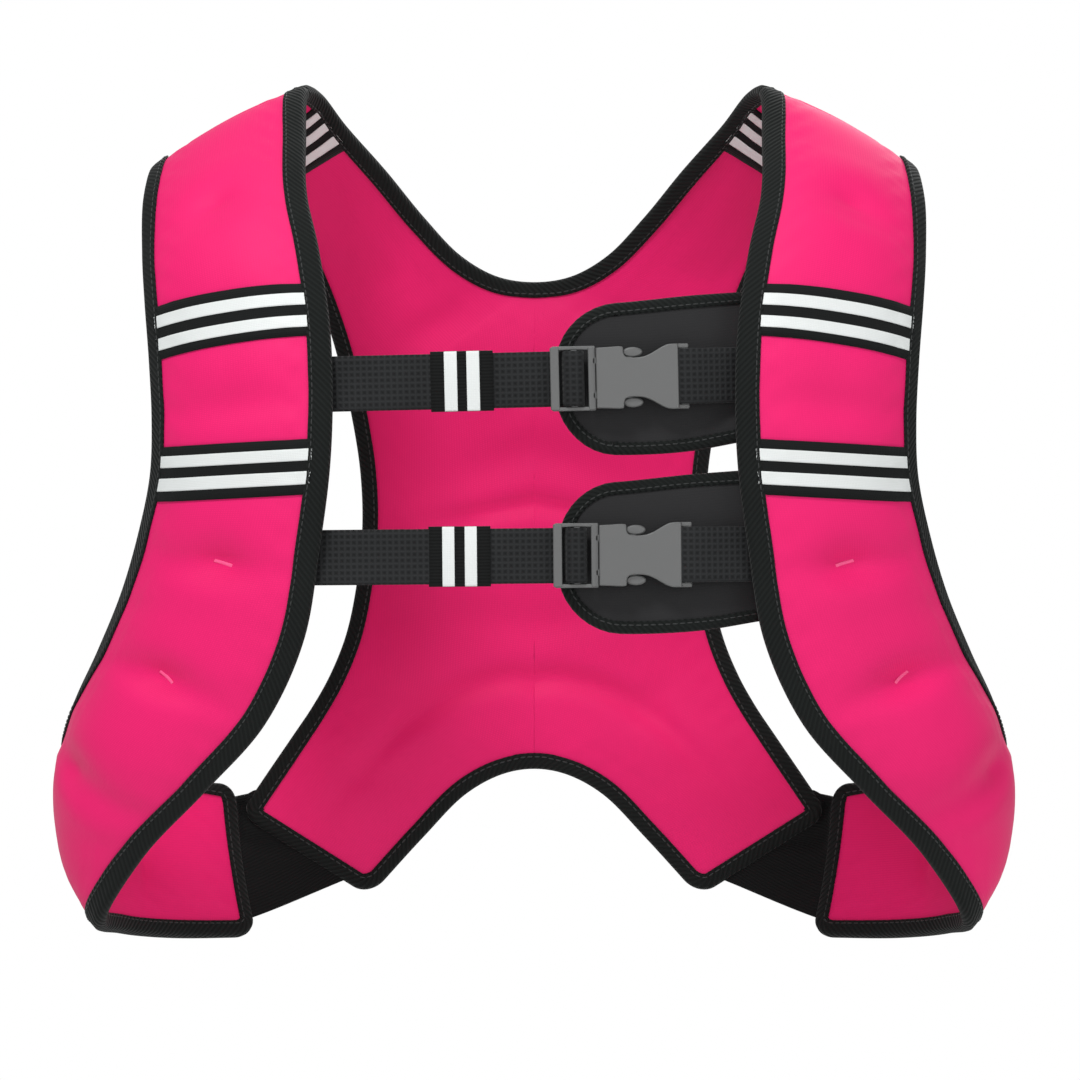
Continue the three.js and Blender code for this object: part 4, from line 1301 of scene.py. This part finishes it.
@dataclass
class ChestStrap:
    """One buckled strap across the chest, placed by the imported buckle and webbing."""

    name: str
    rise: float
    tilt: float
    plane: float = field(init=False)
    out: float = field(init=False)
    height: float = field(init=False)
    strand: float = LADDER_BAR / 2 + STRAP_GAP + WEBBING_WALL / 2
    behind: float = strand + WEBBING_WALL + STRAP_GAP

    def __post_init__(self) -> None:
        """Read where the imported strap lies."""
        male = self.node("buckle_male")
        self.plane = (male[0][1] + male[1][1]) / 2
        self.out = -self.node("webbing_threaded")[0][0] - WEBBING_TUCK
        self.height = self.rise * HEIGHT

    def node(self, part: str) -> tuple[Array, Array]:
        """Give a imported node's corners in millimetres.

        Args:
            part: The node's name after the strap's own.

        Returns:
            The lowest and highest corners.
        """
        low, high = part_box(f"{self.name}_{part}")
        return np.array(low) / MM, np.array(high) / MM

    def verts(self, part: str) -> Array:
        """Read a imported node's points in millimetres.

        Args:
            part: The node's name after the strap's own.

        Returns:
            The points.
        """
        mesh = bpy.data.objects[f"{self.name}_{part}"].data
        return np.array([v.co[:] for v in mesh.vertices]) / MM

    def to_world(self, points: Array) -> Array:
        """Turn and place points given along, behind and above the strap's start.

        Args:
            points: Any array whose last axis is along, behind, above.

        Returns:
            The points in the vest's frame.
        """
        turn = math.radians(self.tilt)
        along, above = points[..., 0], points[..., 2]
        x = along * math.cos(turn) - above * math.sin(turn)
        z = along * math.sin(turn) + above * math.cos(turn)
        return np.stack([x - self.out, points[..., 1] + self.plane, z + self.height], axis=-1)

    def ribbon(self, path: list[tuple[float, float]], part: str) -> None:
        """Make flat webbing along a path in plan.

        Args:
            path: Points along and behind.
            part: The node's name after the strap's own.
        """
        knots = np.array(path)
        fine = spline(knots, np.linspace(0, len(knots) - 1, (len(knots) - 1) * 12 + 1))
        run = np.gradient(fine, axis=0)
        run /= np.linalg.norm(run, axis=1)[:, None]
        aside = np.stack([-run[:, 1], run[:, 0]], axis=1) * WEBBING_WALL / 2
        half = WEBBING_WIDTH / 2
        levels = np.linspace(-half, half, 13)
        section = [(1.0, z) for z in levels] + [(0.0, half + WEBBING_EDGE)]
        section += [(-1.0, z) for z in levels[::-1]] + [(0.0, -half - WEBBING_EDGE), (1.0, -half)]
        points = np.zeros((len(fine), len(section), 3))
        for k, (push, z) in enumerate(section):
            points[:, k, :2] = fine + aside * push
            points[:, k, 2] = z
        mesher = Mesher()
        table = mesher.grid(self.to_world(points), arc_uv(points))
        for end in (table[0], table[-1]):
            mesher.bm.faces.new(end[:-1])
        node = f"{self.name}_{part}"
        mesher.finish(f"woven_{node}", WEBBING, node, weld=True)

    def loop(self, grow: float, half_turn: bool) -> Array:
        """Give the keeper's outline round both layers of webbing.

        Args:
            grow: How far outside the webbing it lies.
            half_turn: Only the part over the front.

        Returns:
            Points behind and above, in order.
        """
        front = self.strand - WEBBING_WALL / 2 - STRAP_GAP - grow
        rear = self.behind + WEBBING_WALL / 2 + STRAP_GAP + grow
        half = WEBBING_WIDTH / 2 + STRAP_GAP + grow
        corner = 1.6
        points = []
        for middle_y, middle_z, start in ((front + corner, -half + corner, 180),
                                          (front + corner, half - corner, 90),
                                          (rear - corner, half - corner, 0),
                                          (rear - corner, -half + corner, -90)):
            for turn in np.radians(np.linspace(start + 90, start, 5)):
                points.append((middle_y + math.cos(turn) * corner,
                               middle_z + math.sin(turn) * corner))
        made = np.array(points)
        if half_turn:
            return made[2:8]
        return np.vstack([made, made[:1]])

    def keeper(self) -> None:
        """Make the elastic keeper with its two pale stripes."""
        low, high = self.node("keeper")
        start, stop = low[0] + self.out, high[0] + self.out
        middle = self.loop(KEEPER_LIFT, False)[:-1].mean(axis=0)
        centre = self.to_world(np.array([0.0, *middle]))
        for part, lift, wall, finish in (
                ("keeper", KEEPER_LIFT, KEEPER_WALL, ELASTIC),
                ("keeper_stripe_1", KEEPER_STRIPE_LIFT, STRIPE_WALL, STRIPE),
                ("keeper_stripe_2", KEEPER_STRIPE_LIFT, STRIPE_WALL, STRIPE)):
            ring = self.loop(lift, part != "keeper")
            ways = np.linspace(*(corner[0] + self.out for corner in self.node(part)), 13)
            points = np.zeros((len(ways), len(ring), 3))
            points[:, :, 0] = ways[:, None]
            points[:, :, 1:] = ring[None]
            share = np.clip((ways - start) / (stop - start), 0, 1)
            points[:, :, 1] -= (KEEPER_SAG * np.sin(np.pi * share))[:, None]
            points = self.to_world(points)
            facing = points - centre
            facing[:, :, 0] = 0.0
            walled("wrapped", f"{self.name}_{part}", points, facing, wall, finish, weld=True)

    def webbing(self) -> None:
        """Make both lengths of webbing."""
        half, clear, wall = LADDER_BAR / 2, 0.4, WEBBING_WALL
        buckle = self.node("buckle_male")[0][0] + self.out
        loop = sum(self.node("keeper")[k][0] for k in (0, 1)) / 2 + self.out
        end = self.node("webbing_threaded")[1][1] - wall / 2 - self.plane
        slot, bar = buckle + 4 + 5.5 / 2, buckle + 9.5
        self.ribbon([
            (-WEBBING_TUCK, end), (2.0, self.strand), (buckle - 12, self.strand),
            (buckle + 4 + clear / 2, self.strand), (slot - clear, half - clear),
            (slot + clear / 2, -half + wall / 2), (bar, -self.strand - STRAP_GAP / 3),
            (bar + 3, -self.strand - STRAP_GAP / 3), (bar + 5.2, -half + clear),
            (bar + 5.2, half), (bar + 3, self.behind - clear), (bar, self.behind),
            (bar - 12, self.behind), (loop - 28.5 / 2 - 6, self.behind),
        ], "webbing_threaded")
        low, high = self.node("webbing_sewn")
        far = high[0] + self.out - WEBBING_TUCK
        far_end = high[1] - wall / 2 - self.plane
        edge = far_end - max(end - self.strand, 0)
        bar = self.node("buckle_female")[1][0] + self.out - 4
        self.ribbon([
            (far + WEBBING_TUCK, far_end), (far - 2, edge), (far - WEBBING_TUCK, edge / 2),
            (bar + 5.6, -self.strand), (bar, -self.strand), (bar - 2.2, -half + clear / 2),
            (bar - 2.2, half - clear / 2), (bar, self.strand), (bar + 16, self.strand),
        ], "webbing_sewn")

    def backing(self) -> None:
        """Make the backing pad and its binding."""
        verts = self.verts("backing")
        line = verts[:, 2].max() - BACKING_ROWS[0][1] * HEIGHT
        starts = []
        for part in (-BACKING_ROWS[0][2], BACKING_ROWS[0][1]):
            group = verts[np.abs(verts[:, 2] - line - part * HEIGHT) < 1.6]
            starts.append(group[group[:, 0] > group[:, 0].max() - 3][:, :2].mean(axis=0))
        ends = verts[verts[:, 0] < verts[:, 0].min() + 6]
        rest = ends[:, 1].mean()
        left = verts[:, 0].min()
        rims = {0: [], 1: []}
        for place, top, foot in BACKING_ROWS:
            for k, part in ((0, -foot), (1, top)):
                x, y = starts[k]
                depth = y if place == 0 else rest
                rims[k].append((-(x + (left - x) * place), depth, line + part * HEIGHT))
        sheet = Sheet(arm=Edge(np.array(rims[0])), inner=Edge(np.array(rims[1])),
                      bows=np.zeros(4), face=-1, edge=3.6, full=6.4, radius=26.0, pucker=0.0,
                      reach=24.0, legs=(3.7, 3.7, 3.7), tails=(3.7, 3.7))
        across, along = BACKING_CELLS
        lane, way = sheet.grid(across, along)
        faces = [mirror(sheet.face_point(lane, way, side)).reshape(along + 1, across + 1, 3)
                 for side in (1, -1)]
        cushion(f"{self.name}_backing", [(*faces, arc_uv(faces[0]))], BLACK_PAD)
        places = rim_places(sheet, [("inner", 0.02, 3), ("end", 0, 0), ("arm", 3, 0.02)])
        made = Binding(sheet, *places, lift=1.0).sections()
        bind(f"{self.name}_backing_binding", *map(mirror, made))

    def build(self) -> None:
        """Make the strap's pieces and finish its buckle."""
        self.webbing()
        self.keeper()
        self.backing()
        Buckle(self).build()


# A female half's upper outline: along and half its height, in millimetres
FEMALE_OUTLINE = np.array([
    [0.0, 14.0], [5.0, 14.2], [11.8, 14.4], [12.6, 14.0], [12.9, 11.2], [13.6, 9.9],
    [15.4, 9.2], [18.6, 9.1], [22.0, 9.5], [25.0, 10.6], [28.0, 12.3], [31.0, 14.0],
    [33.4, 14.9], [35.6, 15.1], [38.2, 15.1],
])


@dataclass
class Buckle:
    """A fastened side-release buckle with rounded edges."""

    strap: ChestStrap

    def plate(self, bm: bmesh.types.BMesh, outline: Array, half: float, rounding: float) -> None:
        """Add a plate with rounded edges.

        Args:
            bm: The mesh that it goes to.
            outline: Points along and above, in order round the plate.
            half: Half its thickness.
            rounding: The radius of its edges.
        """
        verts = [bm.verts.new((x * MM, -half * MM, z * MM)) for x, z in outline]
        face = bm.faces.new(verts)
        made = bmesh.ops.extrude_face_region(bm, geom=[face])["geom"]
        moved = [item for item in made if isinstance(item, bmesh.types.BMVert)]
        bmesh.ops.translate(bm, verts=moved, vec=(0, 2 * half * MM, 0))
        both = set(verts) | set(moved)
        rims = [edge for edge in bm.edges if edge.verts[0] in both and edge.verts[1] in both
                and abs(edge.verts[0].co.y - edge.verts[1].co.y) < 1e-7]
        bmesh.ops.bevel(bm, geom=rims, offset=rounding * MM, offset_type="OFFSET", segments=3,
                        profile=0.5, affect="EDGES", material=-1, clamp_overlap=True)

    def bar(self, bm: bmesh.types.BMesh, along: tuple[float, float], above: tuple[float, float],
            half: float, rounding: float = 0.7) -> None:
        """Add a straight bar with rounded corners.

        Args:
            bm: The mesh that it goes to.
            along: Where it starts and ends along the strap.
            above: Where it starts and ends above the strap's middle.
            half: Half its thickness.
            rounding: The radius of its edges and corners.
        """
        points = []
        for x, z, start in ((along[1], above[1], 0), (along[0], above[1], 90),
                            (along[0], above[0], 180), (along[1], above[0], 270)):
            dx, dz = (1 if x == along[1] else -1), (1 if z == above[1] else -1)
            for turn in np.radians(np.linspace(start, start + 90, 4)):
                points.append((x - dx * rounding + math.cos(turn) * rounding,
                               z - dz * rounding + math.sin(turn) * rounding))
        self.plate(bm, np.array(points), half, rounding * 0.7)

    def piece(self, mesher: Mesher, part: str) -> None:
        """Place a half and stand it in for its node.

        Args:
            mesher: The half's mesh, along, behind and above the strap.
            part: The node's name after the strap's own.
        """
        start = self.strap.node(part)[0][0] + self.strap.out
        for vert in mesher.bm.verts:
            local = np.array(vert.co[:]) / MM + np.array([start, 0.0, 0.0])
            vert.co = Vector(self.strap.to_world(local) * MM)
        node = f"{self.strap.name}_{part}"
        piece = mesher.finish(f"moulded_{node}", GREY_PLASTIC, node)
        piece.modifiers.new("flat_faces", "WEIGHTED_NORMAL").keep_sharp = True

    def build(self) -> None:
        """Make both halves."""
        mesher = Mesher()
        self.bar(mesher.bm, (0.0, 4.2), (-14.6, 14.6), 2.0)
        for sign in (-1, 1):
            self.bar(mesher.bm, (0.8, 21.0), tuple(sorted((13.2 * sign, 15.0 * sign))), 1.7, 0.6)
            turns = np.radians(np.linspace(0, 360, 24, endpoint=False))
            head = np.stack([38.3 + 4.7 * np.cos(turns), sign * 11.6 + 2.4 * np.sin(turns)], axis=1)
            self.plate(mesher.bm, head, 2.2, 0.9)
            self.bar(mesher.bm, (19.5, 38.5), tuple(sorted((6.4 * sign, 9.6 * sign))), 2.0)
        self.bar(mesher.bm, (9.6, 12.6), (-13.6, 13.6), 1.5)
        self.bar(mesher.bm, (17.6, 21.1), (-14.6, 14.6), 2.0)
        self.piece(mesher, "buckle_male")
        mesher = Mesher()
        upper = spline(FEMALE_OUTLINE, np.linspace(0, len(FEMALE_OUTLINE) - 1, 57))
        outline = np.vstack([upper, (upper * np.array([1, -1]))[::-1]])
        self.plate(mesher.bm, outline, 4.4, 1.3)
        for sign in (-1, 1):
            self.bar(mesher.bm, (36.0, 43.0), tuple(sorted((12.9 * sign, 15.1 * sign))), 2.0)
        self.bar(mesher.bm, (39.2, 42.9), (-13.6, 13.6), 1.8)
        self.piece(mesher, "buckle_female")


@dataclass
class BarTacks:
    """The short bars of thread that hold the padding down."""

    body: Body

    def build(self) -> None:
        """Make the bar tacks of both front panels."""
        front = self.body.front
        for side in Side:
            middles, runs, outs = [], [], []
            for across, along, turn in BAR_TACKS:
                step = np.linspace(-TACK_HALF, TACK_HALF, 21)
                share = np.full(len(step), across)
                row = np.full(len(step), along)
                share = share + step * math.cos(math.radians(turn)) / front.width(row)
                row = row + step * math.sin(math.radians(turn)) / front.stretch(share, row)
                line = front.face_point(share, row, 1, TACK_LIFT)
                out = front.normal(share, row)
                way = np.gradient(line, axis=0)
                way /= np.linalg.norm(way, axis=1)[:, None]
                middles += list(line)
                runs += list(np.cross(out, way) + way * TACK_LEAN)
                outs += list(out)
            runs = np.array(runs)
            runs /= np.linalg.norm(runs, axis=1)[:, None]
            thread_mesh(f"bar_tacks_{side.suffix}", side.place(np.array(middles)),
                        side.place(runs), side.place(np.array(outs)), TACK_LONG, TACK_THICK,
                        PINK_THREAD)


# The studio's lights: name, place, side in metres and power in watts
LIGHTS = (
    ("key", (-0.9, -2.1, 2.3), 0.7, 64),
    ("fill", (2.0, -2.2, 0.4), 1.6, 14),
    ("front", (0.1, -3.0, 0.1), 0.8, 11),
    ("top", (0.0, -0.2, 2.2), 1.0, 10),
    ("back", (0.7, 2.4, 1.5), 1.4, 34),
)


@dataclass
class Studio:
    """The pale floor, the lights, the world and the camera."""

    distance: float = 6.0
    span: float = 0.5
    sensor: float = 36.0
    floor_half: float = 2.5
    floor_rise: float = -0.62
    aim: tuple[float, float, float] = (0, 0, -0.18)
    world_light: float = 0.43

    def floor(self) -> None:
        """Lay the pale floor."""
        ends = (-self.floor_half, self.floor_half)
        points = np.array([[(x, y, self.floor_rise) for x in ends] for y in ends])
        mesher = Mesher()
        mesher.grid(points / MM, arc_uv(points))
        mesh = bpy.data.meshes.new("pale_floor")
        mesher.bm.to_mesh(mesh)
        mesher.bm.free()
        paper = Shading("pale_paper", {"Base Color": (0.74, 0.74, 0.74, 1), "Roughness": 0.9})
        mesh.materials.append(paper.made)
        add_object("pale_floor", mesh)

    def lights(self) -> None:
        """Hang the soft lights, each facing the vest."""
        for name, place, size, power in LIGHTS:
            data = bpy.data.lights.new(name, "AREA")
            data.size, data.energy = size, power
            lamp = add_object(name, data)
            lamp.location = place
            away = Vector(self.aim) - Vector(place)
            lamp.rotation_euler = away.to_track_quat("-Z", "Y").to_euler()

    def world(self) -> None:
        """Make the world white to the camera and softer to the vest."""
        world = bpy.data.worlds.new("soft_world")
        world.use_nodes = True
        nodes, links = world.node_tree.nodes, world.node_tree.links
        rays = nodes.new("ShaderNodeLightPath")
        level = nodes.new("ShaderNodeMapRange")
        level.inputs["To Min"].default_value = self.world_light
        level.inputs["To Max"].default_value = 1.0
        links.new(rays.outputs["Is Camera Ray"], level.inputs["Value"])
        background = nodes["Background"]
        background.inputs["Color"].default_value = (1, 1, 1, 1)
        links.new(level.outputs["Result"], background.inputs["Strength"])
        bpy.context.scene.world = world

    def build(self) -> None:
        """Set the stage and the camera."""
        self.floor()
        self.lights()
        self.world()
        scene = bpy.context.scene
        scene.view_settings.view_transform = "Standard"
        data = bpy.data.cameras.new("camera")
        data.sensor_width = self.sensor
        data.lens = self.sensor * (self.distance - 0.1) / self.span
        camera = add_object("camera", data)
        camera.location = (0.0028, -self.distance, -0.1736)
        camera.rotation_euler = (math.pi / 2, 0, 0)
        scene.camera = camera


def main() -> None:
    """Build the vest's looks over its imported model."""
    logging.basicConfig(level=logging.INFO, format="%(name)s: %(message)s")
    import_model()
    Studio().build()
    body = Body()
    body.build()
    for group in (Bindings(body), Tapes(body), SideElastics(body), BarTacks(body)):
        group.build()
        LOG.info("built %s", type(group).__name__)
    for row in STRAPS:
        ChestStrap(*row).build()
        LOG.info("built the %s chest strap", row[0])


if __name__ == "__main__":
    main()
